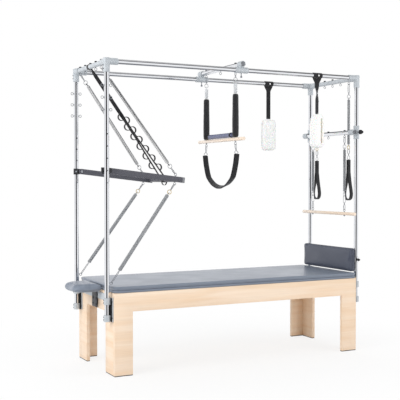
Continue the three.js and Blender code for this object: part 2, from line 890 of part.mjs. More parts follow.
// Near bracket: block against the post, plate out to the pivot, and the pivot pin
function bracketGeometry() {
  const face = -bracketFace;
  const z0 = pivotHeight - bracketBlockHeight / 2;
  const z1 = pivotHeight + bracketBlockHeight / 2;
  const front = leftPost + bracketBlockFront;
  const body = block([leftPost - bracketBlockBack, front], [face, face + bracketBlockDepth], [z0, z1]);
  const half = armHeight / 2;
  const roundEnd = Array.from({ length: 5 }, (_, i) => {
    const angle = -Math.PI / 2 + (i / 4) * Math.PI;
    return [pivotPlace + half * Math.cos(angle), pivotHeight + half * Math.sin(angle)];
  });
  const back = front - weldOverlap;
  const plateShape = outlineShape([
    ...roundEnd, [back, pivotHeight + half], [back, pivotHeight - half],
  ]);
  const plate = slabY(plateShape, bracketPlateThickness).translate(0, face + bracketPlateThickness / 2, 0);
  const shank = bracketPlateThickness + armThickness + 2 * seat;
  const headEnd = shank + pivotPinHeadThickness;
  const pin = turned([
    [0, weldOverlap], [pivotPinRadius, weldOverlap], [pivotPinRadius, shank],
    [pivotPinHead, shank], [pivotPinHead, headEnd], [0, headEnd],
  ], pinSides);
  return joined([body, plate, alongY(pin).translate(pivotPlace, face, pivotHeight)]);
}

function addBarSprings() {
  const topSide = ((eyeCount - 1) / 2) * eyePitch;
  flanks.forEach(([flank, side]) => {
    const upper = chainGeometry(
      new THREE.Vector3(leftPost, side * topSide, railHeight - eyeBelowBar),
      onBar(armEyeReach, side * armMiddle, eyeAboveArm),
      eyeRest,
      eyeRest,
      [
        link(hookLength), link(ringSize, ringSize),
        coil(upperCoilRadius, upperCoilCurls, 'upper spring', 1),
        link(ringSize, ringSize), link(hookLength),
      ],
    );
    piece(`ptb_spring_upper_${flank}`, upper, 'chrome');
    const lower = chainGeometry(
      onBar(armEyeReach, side * armMiddle, -eyeAboveArm),
      new THREE.Vector3(leftPost + eyeBelowBar, side * postSide, lowEyeHeight),
      eyeRest,
      eyeRest,
      [
        link(hookLength), link(ringSize, ringSize),
        coil(lowerCoilRadius, lowerCoilCurls, 'lower spring'), link(wireLinkLength),
      ],
    );
    piece(`ptb_spring_lower_${flank}`, lower, 'chrome');
  });
}

// Outline round two circles as a belt round two pulleys
function beltOutline([ax, az], radiusA, [bx, bz], radiusB) {
  const heading = Math.atan2(bz - az, bx - ax);
  const lean = Math.acos((radiusA - radiusB) / Math.hypot(bx - ax, bz - az));
  const points = [];
  const arcSteps = 6;
  for (let i = 0; i <= arcSteps; i += 1) {
    const angle = heading + lean + (i / arcSteps) * 2 * (Math.PI - lean);
    points.push([ax + radiusA * Math.cos(angle), az + radiusA * Math.sin(angle)]);
  }
  for (let i = 0; i <= arcSteps; i += 1) {
    const angle = heading - lean + (i / arcSteps) * 2 * lean;
    points.push([bx + radiusB * Math.cos(angle), bz + radiusB * Math.sin(angle)]);
  }
  return points;
}

// Webbing choked round the left end bar, its two strands round the handle, with a row of sewn loops on each
function addSafetyStrap() {
  const handle = onBar(armReach, 0, 0);
  const top = [leftPost, railHeight];
  const bottom = [handle.x, handle.z];
  const heading = Math.atan2(bottom[1] - top[1], bottom[0] - top[0]);
  const chokeInner = boreRadius(tubeRadius);
  const chokeOuter = chokeInner + strapThickness;
  const gatherReach = chokeOuter + strapGather;
  const gather = [top[0] + gatherReach * Math.cos(heading), top[1] + gatherReach * Math.sin(heading)];
  const wrapInner = boreRadius(handleRadius, rodSides);
  const wrapOuter = wrapInner + strapThickness;
  const ring = outlineShape(flatCircle(chokeOuter, rodSides, top), [flatCircle(chokeInner, rodSides, top)]);
  const gatherOuter = strapGather + strapThickness / 2;
  const gatherInner = gatherOuter - strapThickness;
  const strands = outlineShape(
    beltOutline(gather, gatherOuter, bottom, wrapOuter / Math.cos(Math.PI / rodSides)),
    [beltOutline(gather, gatherInner, bottom, wrapInner / Math.cos(Math.PI / rodSides))],
  );
  const span = Math.hypot(bottom[0] - gather[0], bottom[1] - gather[1]);
  const loops = [];
  sides.forEach((flank) => {
    for (let i = 0; i < strapLoopCount; i += 1) {
      const share = strapLoopFirstShare
        + (i / (strapLoopCount - 1)) * (strapLoopLastShare - strapLoopFirstShare)
        + flank * strapLoopStaggerShare / 2;
      const offset = gatherOuter + share * (wrapOuter - gatherOuter) - weldOverlap;
      loops.push(strapLoop(gather, heading, share * span, flank, offset, strapLoopLengthShare * span));
    }
  });
  const strap = joined([ring, strands, ...loops].map((shape) => slabY(shape, strapWidth)));
  piece('safety_strap', strap, 'webbing').position.y = strapSide;
}

// One sewn loop: a half round arch that stands off the strand
function strapLoop(origin, heading, along, flank, offset, length) {
  const half = length / 2;
  const arc = (reach, height, forward) => Array.from({ length: strapLoopSteps + 1 }, (_, i) => {
    const angle = ((forward ? i : strapLoopSteps - i) / strapLoopSteps) * Math.PI;
    return [along + reach * Math.cos(angle), offset + height * Math.sin(angle)];
  });
  const outer = arc(half, strapLoopHeight, true);
  const inner = arc(half - strapThickness, strapLoopHeight - strapThickness, false);
  const local = [...outer, ...inner];
  const cos = Math.cos(heading);
  const sin = Math.sin(heading);
  return outlineShape(local.map(([s, t]) => [
    origin[0] + s * cos - flank * t * sin,
    origin[1] + s * sin + flank * t * cos,
  ]));
}

// Cross clamps: a sleeve along Z with a holder along Y beside it, at the given distance towards -X
function crossClamp(distance) {
  const half = clampSleeveLength / 2;
  const holderHalf = clampHolderLength / 2;
  const sleeve = rod(clampRadius, -half, half, fittingSides);
  const holder = alongY(rod(clampRadius, -holderHalf, holderHalf, fittingSides)).translate(-distance, 0, 0);
  const webHalf = clampWebWidth / 2;
  const web = block([-distance, 0], [-webHalf, webHalf], [-webHalf, webHalf]);
  const bore = boreRadius(tubeRadius);
  const sleeveBore = rod(bore, -half - cutOverrun, half + cutOverrun, fittingSides);
  const holderBore = alongY(rod(bore, -holderHalf - cutOverrun, holderHalf + cutOverrun, fittingSides));
  return joined([sleeve, holder, web], [sleeveBore, holderBore.translate(-distance, 0, 0)]);
}

function crossBar() {
  const half = postSide + clampHolderLength / 2;
  return alongY(tube(tubeRadius, tubeWall, -half, half));
}

// Carriage on the rails with the trapeze


function addCarriage() {
  const bolts = barEyebolts(eyePlaces(3, trapezeSide), tubeRadius);
  const bar = piece('carriage_bar', joined([crossBar(), ...bolts]), 'chrome');
  bar.position.set(carriagePlace, 0, carriageHeight);
  flanks.forEach(([flank, side]) => {
    const geometry = crossClamp(carriageLift).rotateY(Math.PI / 2);
    const clamp = piece(`carriage_clamp_${flank}`, geometry, 'castSilver');
    clamp.position.set(carriagePlace, side * postSide, railHeight);
    const stemTop = -clampRadius - seat;
    const knobTop = stemTop - lockStemLength;
    const knobBottom = knobTop - lockKnobLength;
    const screw = turned([
      [0, knobBottom], [lockKnobRadius, knobBottom], [lockKnobRadius, knobTop],
      [lockStemRadius, knobTop], [lockStemRadius, stemTop], [0, stemTop],
    ], pinSides);
    const mesh = piece(`carriage_lock_${flank}`, screw, 'steel');
    mesh.position.set(carriagePlace, side * postSide, railHeight);
  });
}

// Dowel along Y with eased ends
function dowel(length) {
  const half = length / 2;
  const ease = half - dowelEndLength;
  return alongY(turned([
    [0, -half], [dowelEndRadius, -half], [dowelRadius, -ease],
    [dowelRadius, ease], [dowelEndRadius, half], [0, half],
  ], rodSides));
}

// Radius of each ring of a padded sleeve, with its height as a share of the sleeve
const sleeveRingShares = [[0.06, 1], [0.5, 0.94], [0.94, 1]];

function addTrapeze() {
  const eyeHeight = carriageHeight - eyeBelowBar;
  const sleeveBottom = trapezeDowelHeight + dowelRadius + seat;
  const sleeveLength = sleeveTop - sleeveBottom;
  const profile = [
    [0, sleeveBottom], [sleeveEndRadius, sleeveBottom],
    ...sleeveRingShares.map(([height, radius]) => (
      [radius * sleeveRadius, sleeveBottom + height * sleeveLength]
    )),
    [sleeveEndRadius, sleeveTop], [0, sleeveTop],
  ];
  flanks.forEach(([flank, side]) => {
    const spring = chainGeometry(
      new THREE.Vector3(0, 0, eyeHeight),
      new THREE.Vector3(0, 0, sleeveTop),
      eyeRest,
      -weldOverlap,
      [link(hookLength), link(ringSize, ringSize), coil(stubCoilRadius, stubCoilCurls, 'trapeze spring')],
    );
    const sleeve = piece(`trapeze_sleeve_${flank}`, joined([turned(profile, rodSides), spring]), 'webbing');
    sleeve.position.set(carriagePlace, side * trapezeSide, 0);
  });

  const rollHalf = seatRollLength / 2;
  const easedHalf = rollHalf - seatRollHeight / 2;
  const roll = turned([
    [0, -rollHalf], [sleeveEndRadius, -rollHalf], [seatRollHeight / 2, -easedHalf],
    [seatRollHeight / 2, easedHalf], [sleeveEndRadius, rollHalf], [0, rollHalf],
  ], rodSides);
  roll.scale(seatRollDepth / seatRollHeight, 1, 1);
  const rollHeight = trapezeDowelHeight + dowelRadius + seat + seatRollHeight / 2;
  piece('trapeze_seat_roll', alongY(roll), 'vinylDark').position.set(carriagePlace, 0, rollHeight);

  const below = dowelRadius + nutHeight - 2 * weldOverlap;
  const bolts = sides.flatMap((side) => [
    nutGeometry().translate(0, side * trapezeSide, weldOverlap - dowelRadius - nutHeight),
    eyeGeometry().translate(0, side * trapezeSide, -below - eyeDrop),
  ]);
  const dowelPiece = piece('trapeze_dowel', joined([dowel(trapezeDowelLength), ...bolts]), 'maple');
  dowelPiece.position.set(carriagePlace, 0, trapezeDowelHeight);
  addSling(trapezeDowelHeight - below - eyeDrop);
}

// Half of the sling's middle line, as shares of its spread and of its drop
const slingPathShares = [[1, 0], [0.93, 0.34], [0.85, 0.62], [0.66, 0.86], [0.32, 0.98], [0, 1]];

function addSling(eyeHeight) {
  const right = slingPathShares.map(([u, v]) => [u * slingSpread, slingTop - v * slingDepth]);
  const left = right.slice(0, -1).map(([y, z]) => [-y, z]);
  const path = [...left, ...right.reverse()];
  const band = slabX(bandShape(path, slingThickness), slingWidth);
  const links = sides.map((side) => chainGeometry(
    new THREE.Vector3(0, side * trapezeSide, eyeHeight),
    new THREE.Vector3(0, side * slingSpread, slingTop),
    eyeRest,
    -weldOverlap,
    [link(slingHookLength), link(undefined, slingRingWidth)],
  ));
  piece('sling', joined([band, ...links]), 'webbing').position.x = carriagePlace;
}

// Closed outline of a band of even thickness along a line of points
function bandShape(path, thickness) {
  const offsets = path.map((point, i) => {
    const before = path[Math.max(0, i - 1)];
    const after = path[Math.min(path.length - 1, i + 1)];
    const length = Math.hypot(after[0] - before[0], after[1] - before[1]);
    return [-(after[1] - before[1]) / length, (after[0] - before[0]) / length];
  });
  const edge = (sign) => path.map(([u, v], i) => [
    u + (sign * offsets[i][0] * thickness) / 2,
    v + (sign * offsets[i][1] * thickness) / 2,
  ]);
  return outlineShape([...edge(1), ...edge(-1).reverse()]);
}

// Adjustable bar on the right posts

const rightBarPlace = rightPost - rightBarInset;
const lightSide = ((eyeCount - 1) / 2) * eyePitch;

// Knob with rounded lobes on a stud, along Z from 0
function knobGeometry(radius, thickness, studRadius, studLength) {
  const count = 4 * knobLobes;
  const rim = Array.from({ length: count }, (_, i) => {
    const angle = (i / count) * 2 * Math.PI;
    const reach = radius * (1 - knobLobeShare * (1 - Math.cos(knobLobes * angle)));
    return [reach * Math.cos(angle), reach * Math.sin(angle)];
  });
  const head = slab(outlineShape(rim), thickness).translate(0, 0, studLength + thickness / 2);
  return joined([rod(studRadius, 0, studLength + weldOverlap, pinSides), head]);
}

// Turns a piece built along Z so that it points out of the near or the far side
function outOfSide(geometry, side) {
  return side < 0 ? geometry.rotateX(Math.PI / 2) : geometry.rotateX(-Math.PI / 2);
}

function addRightBar() {
  const bolts = barEyebolts(eyePlaces(3, lightSide), tubeRadius);
  const bar = piece('right_bar', joined([crossBar(), ...bolts]), 'chrome');
  bar.position.set(rightBarPlace, 0, rightBarHeight);
  flanks.forEach(([flank, side]) => {
    const clamp = piece(`right_clamp_${flank}`, crossClamp(rightBarInset), 'castSilver');
    clamp.position.set(rightPost, side * postSide, rightBarHeight);
    const knob = outOfSide(knobGeometry(knobRadius, knobThickness, knobStudRadius, knobStudLength), side);
    const mesh = piece(`right_knob_${flank}`, knob, 'plastic');
    mesh.position.set(rightPost, side * (postSide + clampRadius + seat), rightBarHeight);
  });
  addRollBar();
}

function addRollBar() {
  const eyeHeight = dowelRadius + eyeDrop - weldOverlap;
  flanks.forEach(([flank, side]) => {
    const spring = chainGeometry(
      new THREE.Vector3(rightBarPlace, side * lightSide, rightBarHeight - eyeBelowBar),
      new THREE.Vector3(rightBarPlace, side * lightSide, rollBarHeight + eyeHeight),
      eyeRest,
      eyeRest,
      [
        link(rollHookLength), link(ringSize, ringSize),
        coil(lightCoilRadius, lightCoilCurls, 'roll-down spring'),
        link(ringSize, ringSize), link(rollLinkLength), link(rollLinkLength),
      ],
    );
    piece(`roll_spring_${flank}`, spring, 'chrome');
  });
  const bolts = sides.flatMap((side) => [
    eyeGeometry().rotateX(Math.PI).translate(0, side * lightSide, eyeHeight),
    nutGeometry().translate(0, side * lightSide, weldOverlap - dowelRadius - nutHeight),
  ]);
  const bar = piece('roll_dowel', joined([dowel(rollBarLength), ...bolts]), 'maple');
  bar.position.set(rightBarPlace, 0, rollBarHeight);
}

// One edge of a hand loop: its strands lie together below the ring and part towards the foot
function dropOutline(shares) {
  const left = shares.map(([u, v]) => [-u * (handLoopWidth / 2), v * handLoopLength]);
  const right = left.map(([u, v]) => [-u, v]).reverse();
  return [...right, ...left];
}

// Hand loops on springs from the right end bar

function addHandLoops() {
  const ringBottom = handLoopTop - weldOverlap;
  const swivelBottom = ringBottom + ringSize + weldOverlap - 2 * linkWire;
  const brassBottom = swivelBottom + handSwivelLength - 2 * linkWire - seat;
  flanks.forEach(([flank, side]) => {
    const spring = chainGeometry(
      new THREE.Vector3(0, 0, railHeight - eyeBelowBar),
      new THREE.Vector3(0, 0, brassBottom),
      eyeRest,
      0,
      [
        link(handHookLength), link(ringSize, ringSize),
        coil(lightCoilRadius, lightCoilCurls, 'hand loop spring'),
        link(brassRingSize, brassRingSize),
      ],
    );
    piece(`hand_spring_${flank}`, spring, 'chrome').position.set(rightPost, side * lightSide, 0);
    const slot = dropOutline(handLoopInnerShares);
    const loop = slabX(outlineShape(dropOutline(handLoopOuterShares), [slot]), handLoopBand);
    const parts = [
      loop.translate(0, 0, handLoopTop - handLoopLength),
      linkGeometry(ringSize, ringSize, linkWire).rotateZ(Math.PI / 2).translate(0, 0, ringBottom),
      linkGeometry(handSwivelLength, linkWidth, linkWire).translate(0, 0, swivelBottom),
    ];
    piece(`hand_loop_${flank}`, joined(parts), 'webbing').position.set(rightPost, side * lightSide, 0);
  });
}

// Fleece cuffs, each on a strap choked round a rail; the near strap turns a quarter on its way down

const chokeRadius = boreRadius(tubeRadius) + cuffStrapThickness;

function addCuffs() {
  const cuffs = [['near', -1, nearCuffPlace, Math.PI / 2], ['far', 1, farCuffPlace, 0]];
  cuffs.forEach(([flank, side, x, twist]) => {
    const chokeHalf = cuffChokeWidth / 2;
    const choke = alongX(tube(chokeRadius, cuffStrapThickness, -chokeHalf, chokeHalf));
    const strap = joined([choke, twistedStrap(twist)]);
    piece(`cuff_strap_${flank}`, strap, 'webbing').position.set(x, side * postSide, railHeight);
    const outer = longRound(cuffDepth / 2, cuffHeight, 0, cuffSteps);
    const slotStart = (cuffHeight - cuffSlotHeight) / 2;
    const slot = longRound(cuffSlotWidth / 2, cuffSlotHeight, 0).map(([u, v]) => [u, v + slotStart]);
    const shape = outlineShape(outer, [slot]);
    const cuff = twist ? slabY(shape, cuffWidth) : slabX(shape, cuffWidth);
    const mesh = piece(`fleece_cuff_${flank}`, cuff, 'fleece');
    mesh.position.set(x, side * postSide, cuffTop - seat - cuffHeight);
  });
}

// Flat strap that starts as wide as the choke, narrows, and turns by the twist on its way to the cuff
function twistedStrap(twist) {
  const top = -tubeRadius - seat - cuffStrapThickness / 2;
  const bottom = cuffTop + seat - railHeight;
  const heights = [top, -cuffChokeDrop];
  for (let i = 1; i <= cuffStrapSteps; i += 1) {
    heights.push(-cuffChokeDrop + (i / cuffStrapSteps) * (bottom + cuffChokeDrop));
  }
  const positions = heights.flatMap((height, i) => {
    const half = (i === 0 ? cuffChokeWidth : cuffStrapWidth) / 2;
    const turn = twist * Math.max(0, (i - 1) / cuffStrapSteps);
    const thick = cuffStrapThickness / 2;
    return [[half, thick], [-half, thick], [-half, -thick], [half, -thick]].flatMap(([u, v]) => [
      u * Math.cos(turn) - v * Math.sin(turn),
      u * Math.sin(turn) + v * Math.cos(turn),
      height,
    ]);
  });
  const index = [0, 1, 2, 0, 2, 3];
  for (let i = 0; i + 1 < heights.length; i += 1) {
    for (let k = 0; k < 4; k += 1) {
      const a = 4 * i + k;
      const b = 4 * i + ((k + 1) % 4);
      index.push(a, b + 4, b, a, a + 4, b + 4);
    }
  }
  const last = 4 * (heights.length - 1);
  index.push(last, last + 2, last + 1, last, last + 3, last + 2);
  const geometry = new THREE.BufferGeometry();
  geometry.setAttribute('position', new THREE.Float32BufferAttribute(positions, 3));
  geometry.setIndex(index);
  return geometry;
}

// Backrest that slides on the right posts

function addBackrest() {
  const plateFront = rightPost - clampRadius;
  const plateBack = plateFront + backrestPlateThickness;
  const bottom = matTop + backrestLift;
  const middle = bottom + backrestHeight / 2;
  const plateHalf = backrestHeight / 2 - backrestPlateInset;
  const plateHeights = [middle - plateHalf, middle + plateHalf];
  const plate = block([plateFront, plateBack], [-postSide, postSide], plateHeights);
  const sleeveHalf = backrestSleeveHeight / 2;
  const sleeves = sides.map((side) => {
    const sleeve = rod(clampRadius, middle - sleeveHalf, middle + sleeveHalf, fittingSides);
    return sleeve.translate(rightPost, side * postSide, 0);
  });
  const bores = sides.map((side) => {
    const bore = rod(boreRadius(tubeRadius), bottom, bottom + backrestHeight, fittingSides);
    return bore.translate(rightPost, side * postSide, 0);
  });
  piece('backrest_frame', joined([plate, ...sleeves], bores), 'blackSteel');
  const radii = Array(4).fill(backrestCornerRadius);
  const padBody = backrestThickness - backrestCrown;
  const pad = cushionGeometry(backrestHeight, backrestWidth, padBody, backrestCrown, radii);
  pad.rotateY(-Math.PI / 2).translate(plateFront - seat, 0, middle);
  piece('backrest_pad', pad, 'vinylDark');
  flanks.forEach(([flank, side]) => {
    const knob = knobGeometry(smallKnobRadius, smallKnobThickness, smallKnobStudRadius, smallKnobStudLength);
    const mesh = piece(`backrest_knob_${flank}`, outOfSide(knob, side), 'plastic');
    mesh.position.set(rightPost, side * (postSide + clampRadius + seat), middle);
  });
}

addBed();
addUpholstery();
addFrame();
addPushThroughBar();
addCarriage();
addTrapeze();
addRightBar();
addHandLoops();
addCuffs();
addBackrest();

export default table;
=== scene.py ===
"""Looks of the pilates trapeze table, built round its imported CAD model. Metres, +Z up, near side -Y."""
from math import atan2, cos, exp, pi, radians, sin, sqrt

import bmesh
import bpy
from mathutils import Matrix, Vector, noise
from mathutils.bvhtree import BVHTree


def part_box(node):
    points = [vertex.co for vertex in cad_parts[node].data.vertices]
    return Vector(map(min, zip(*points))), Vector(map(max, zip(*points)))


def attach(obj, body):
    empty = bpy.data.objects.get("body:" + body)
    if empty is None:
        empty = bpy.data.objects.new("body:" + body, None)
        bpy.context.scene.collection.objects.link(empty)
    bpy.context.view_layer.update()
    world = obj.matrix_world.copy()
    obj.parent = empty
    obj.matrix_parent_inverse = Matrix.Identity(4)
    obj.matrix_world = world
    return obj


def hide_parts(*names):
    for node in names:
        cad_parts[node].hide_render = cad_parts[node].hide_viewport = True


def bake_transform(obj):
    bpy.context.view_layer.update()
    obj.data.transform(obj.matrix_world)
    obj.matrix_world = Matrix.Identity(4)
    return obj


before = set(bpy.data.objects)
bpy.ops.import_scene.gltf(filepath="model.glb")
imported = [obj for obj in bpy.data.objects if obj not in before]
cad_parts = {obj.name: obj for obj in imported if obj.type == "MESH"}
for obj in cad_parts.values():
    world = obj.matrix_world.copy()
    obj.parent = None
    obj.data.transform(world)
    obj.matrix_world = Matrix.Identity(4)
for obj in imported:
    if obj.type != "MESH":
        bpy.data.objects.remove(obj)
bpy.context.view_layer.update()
scene = bpy.context.scene


def put(target, **settings):
    """Sets several values on one thing and gives it back."""
    for key, value in settings.items():
        setattr(target, key, value)
    return target


# Camera at the photograph's place, then the view settings
CAMERA_PLACE = (-3.0034, -5.686, 1.335)
CAMERA_YAW = radians(-27.025)
CAMERA_PITCH = radians(90 - 1.262)
LENS = 75.22

camera_data = put(bpy.data.cameras.new("camera"), lens=LENS, sensor_width=36)
camera = bpy.data.objects.new("camera", camera_data)
put(camera, location=CAMERA_PLACE, rotation_euler=(CAMERA_PITCH, 0, CAMERA_YAW))
scene.collection.objects.link(camera)
scene.camera = camera
scene.view_settings.view_transform = "Standard"

# Light: the sky's strength for matt surfaces, then each lamp's place, size and power, and where they point
SKY = 0.72
LAMPS = (("key", (-5.8, -1.7, 4.0), 3.2, 190),
         ("fill", (3.5, -4.3, 2.6), 2.6, 62),
         ("back", (1.5, 4.5, 4.0), 3.0, 60))
LAMP_TARGET = Vector((0, 0, 0.9))

X_AXIS, Y_AXIS, UP = Vector((1, 0, 0)), Vector((0, 1, 0)), Vector((0, 0, 1))
NEAR_FAR = (("near", -1), ("far", 1))

# Places that the CAD model gives: its shift along X, then the tube axes and the heights they share
SHIFT = -0.94535
TUBE = 0.0175
TUBE_WALL = 0.002
BORE = 0.0179
POST_SIDE = 0.32
LEFT_POST = SHIFT - 0.035
RIGHT_POST = SHIFT + 2.075
POSTS = (("left", LEFT_POST, 1), ("right", RIGHT_POST, -1))
RAIL_HEIGHT = 2.155
POST_BOTTOM = 0.3963
EYE_DROP = 0.031
LOW_EYE = 0.637
EYE_REST = 0.0029
PIVOT = Vector((SHIFT - 0.008, 0, 1.41))
HOLE_STEP = 0.083
BAR_TILT = radians(6.5)
ARM_SIDE = 0.2859
ARM_REACH = 0.563
ARM_EYE_REACH = 0.508
ARM_EYE_RISE = 0.0335
CARRIAGE = SHIFT + 1.02
CARRIAGE_HEIGHT = 2.199
RIGHT_BAR = SHIFT + 2.035
RIGHT_BAR_HEIGHT = 1.726
ROLL_HEIGHT = 1.077
LIGHT_SIDE = 0.22
TRAPEZE_SIDE = 0.235
DOWEL_HEIGHT = 1.652
DOWEL_RADIUS = 0.0128
BACKREST_MIDDLE = 0.7143


# Materials

def linear(hex_colour):
    """Linear colour of a written one."""
    parts = [int(hex_colour[i:i + 2], 16) / 255 for i in (0, 2, 4)]
    return tuple(c / 12.92 if c <= 0.04045 else ((c + 0.055) / 1.055) ** 2.4 for c in parts) + (1,)


class Graph:
    """A node tree with short ways to add and join its nodes."""

    def __init__(self, tree):
        self.tree = tree

    def feed(self, socket, value):
        """Gives a socket a value or another node's output."""
        if isinstance(value, bpy.types.NodeSocket):
            self.tree.links.new(value, socket)
        else:
            socket.default_value = value

    def node(self, kind, inputs=None, **settings):
        """A new node with its settings, and its inputs by socket."""
        made = put(self.tree.nodes.new("ShaderNode" + kind), **settings)
        for socket, value in (inputs or {}).items():
            self.feed(made.inputs[socket], value)
        return made

    def maths(self, kind, a, b=0.0):
        return self.node("Math", {0: a, 1: b}, operation=kind).outputs["Value"]

    def multiply(self, a, b):
        made = self.node("Mix", {"Factor": 1.0, "A": a, "B": b}, data_type="RGBA", blend_type="MULTIPLY")
        return made.outputs["Result"]

    def mixed(self, share, a, b):
        return self.node("MixShader", {"Fac": share, 1: a, 2: b}).outputs["Shader"]

    def ramp(self, share, *stops, blue=1.0):
        """Colours along a share. A stop is its place and a written colour or a grey value."""
        made = self.node("ValToRGB", {"Fac": share})
        elements = made.color_ramp.elements
        while len(elements) < len(stops):
            elements.new(0.5)
        for element, (place, value) in zip(elements, stops):
            element.position = place
            element.color = linear(value) if isinstance(value, str) else (value, value, value * blue, 1)
        return made.outputs["Color"]


class Finish(Graph):
    """A Principled material with procedural detail, and a slot name that it only stores."""

    def __init__(self, name, slot, colour, rough, metal=0.0, **sockets):
        self.mat = bpy.data.materials.new(name)
        self.mat.use_nodes = True
        super().__init__(self.mat.node_tree)
        self.slot = slot
        self.bsdf = self.tree.nodes["Principled BSDF"]
        sockets |= {"Base_Color": linear(colour), "Roughness": rough, "Metallic": metal}
        for socket, value in sockets.items():
            self.feed(self.bsdf.inputs[socket.replace("_", " ")], value)
        self.coords = self.node("TexCoord").outputs["Object"]

    def texture(self, kind, output, inputs, stretch=(1, 1, 1), turn=(0, 0, 0), **settings):
        spot = self.node("Mapping", {"Scale": stretch, "Rotation": turn, "Vector": self.coords})
        made = self.node("Tex" + kind, {**inputs, "Vector": spot.outputs["Vector"]}, **settings)
        return made.outputs[output]

    def noise(self, scale, detail=3, rough=0.5, stretch=(1, 1, 1), distortion=0):
        inputs = {"Scale": scale, "Detail": detail, "Roughness": rough, "Distortion": distortion}
        return self.texture("Noise", "Fac", inputs, stretch)

    def wave(self, scale, direction, stretch=(1, 1, 1), turn=(0, 0, 0)):
        inputs = {"Scale": scale, "Distortion": 0, "Detail": 2}
        return self.texture("Wave", "Fac", inputs, stretch, turn, bands_direction=direction)

    def cells(self, scale):
        return self.texture("Voronoi", "Distance", {"Scale": scale}, feature="SMOOTH_F1")

    def surface(self, colour, rough, bump):
        """Joins a colour, a roughness as (share, low, high) and a bump as (height, strength, distance)."""
        share, low, high = rough
        height, strength, distance = bump
        made = self.node("Bump", {"Strength": strength, "Distance": distance, "Height": height})
        self.feed(self.bsdf.inputs["Base Color"], colour)
        self.feed(self.bsdf.inputs["Roughness"], self.ramp(share, (0.3, low), (0.7, high)))
        self.feed(self.bsdf.inputs["Normal"], made.outputs["Normal"])
        return self


def maple_finish(name, axis, pale="FBE4CC", tan="F4D5B4"):
    """Clear-coated maple whose grain runs along X or Y."""
    made = Finish(name, "maple", pale, 0.42, Coat_Weight=0.12, Coat_Roughness=0.25)
    figure = made.noise(1.6, 4, 0.5, [0.9 if letter == axis else 14 for letter in "XYZ"], 0.4)
    streak = made.noise(1.0, 4, 0.6, [3 if letter == axis else 160 for letter in "XYZ"])
    body = made.ramp(figure, (0.3, tan), (0.66, pale))
    pores = made.ramp(streak, (0.35, 0.955), (0.6, 1.0))
    return made.surface(made.multiply(body, pores), (streak, 0.48, 0.36), (streak, 0.12, 0.0004))


def vinyl_finish(name, slot, colour, shade, rough):
    """Upholstery vinyl with a fine leather grain, whose pits are painted a little darker as shade."""
    made = Finish(name, slot, colour, rough, Specular_IOR_Level=0.6, Coat_Weight=0.3, Coat_Roughness=0.2)
    grain, pores, cloud = made.cells(420), made.noise(900, 2), made.noise(6, 3)
    tone = made.ramp(cloud, (0.25, shade), (0.7, colour))
    height = made.maths("ADD", grain, made.maths("MULTIPLY", pores, 0.4))
    # The grain's pits, the low places of the bump, are painted darker: painted shade.
    return made.surface(made.multiply(tone, made.ramp(grain, (0.05, 0.93), (0.5, 1.0))),
                        (cloud, rough + 0.05, rough - 0.04), (height, 0.18, 0.0004))


def metal_finish(name, slot, colour, shade, rough, metal=1.0):
    """Metal with faint streaks and smudges."""
    made = Finish(name, slot, colour, rough, metal)
    smudge, streak = made.noise(9, 4, 0.6), made.noise(40, 3, 0.6, (1, 1, 12))
    worn = made.maths("ADD", made.maths("MULTIPLY", smudge, 0.6), made.maths("MULTIPLY", streak, 0.4))
    return made.surface(made.ramp(smudge, (0.3, shade), (0.65, colour)), (worn, rough * 0.65, rough * 1.35),
                        (streak, 0.03, 0.0002))


def cast_finish(name, slot, colour, shade):
    """Tumbled cast aluminium: satin, finely grained, a little darker in places."""
    made = Finish(name, slot, colour, 0.46, 0.2)
    grain, cloud = made.noise(700, 3), made.noise(25, 4, 0.6)
    tone = made.ramp(cloud, (0.3, shade), (0.6, colour))
    return made.surface(tone, (grain, 0.42, 0.52), (grain, 0.04, 0.0002))


def paint_finish(name, slot, colour, worn, rough):
    """Powder coat: orange peel, with lighter rubbed places."""
    made = Finish(name, slot, colour, rough)
    peel, rub = made.noise(520, 2), made.noise(14, 5, 0.65)
    return made.surface(made.ramp(rub, (0.5, colour), (0.85, worn)), (rub, rough + 0.06, rough - 0.06),
                        (peel, 0.06, 0.0003))


def plastic_finish(name, slot, colour, light):
    """Moulded plastic or rubber, faintly grained."""
    made = Finish(name, slot, colour, 0.45)
    grain, cloud = made.noise(800, 2), made.noise(40, 3)
    tone = made.ramp(cloud, (0.4, colour), (0.8, light))
    return made.surface(tone, (grain, 0.38, 0.55), (grain, 0.1, 0.0002))


def woven(made, weave, mottle, colours, dark, top, rough, bump):
    """A weave whose hollows are painted darker as shade, over a faint mottle between two colours."""
    tone = made.ramp(mottle, (0.3, colours[0]), (0.8, colours[1]))
    # The weave's hollows, the low places of its bump, are painted darker: painted shade.
    return made.surface(made.multiply(tone, made.ramp(weave, (0.0, dark), (top, 1.0))), (mottle, *rough),
                        (weave, bump, 0.0006))


def webbing_finish(name, colours, pitch=0.0022):
    """Woven webbing: crossed diagonal ribs."""
    made = Finish(name, "webbing", colours[0], 0.8, Sheen_Weight=0.25, Sheen_Roughness=0.5)
    ribs = [made.wave(1 / pitch / 6.3, "DIAGONAL", (1, 1, side)) for side in (1, -1)]
    weave = made.maths("MULTIPLY", *ribs)
    return woven(made, weave, made.noise(30, 3), colours, 0.72, 0.5, (0.74, 0.88), 0.45)


def foam_finish(name, colours):
    """Knitted cover over foam."""
    made = Finish(name, "webbing", colours[0], 0.86, Sheen_Weight=0.3, Sheen_Roughness=0.6)
    knit = made.maths("MULTIPLY", made.wave(120, "Z"), made.wave(120, "X", turn=(0, 0, 0.6)))
    return woven(made, knit, made.noise(18, 4), colours, 0.8, 0.6, (0.8, 0.92), 0.3)


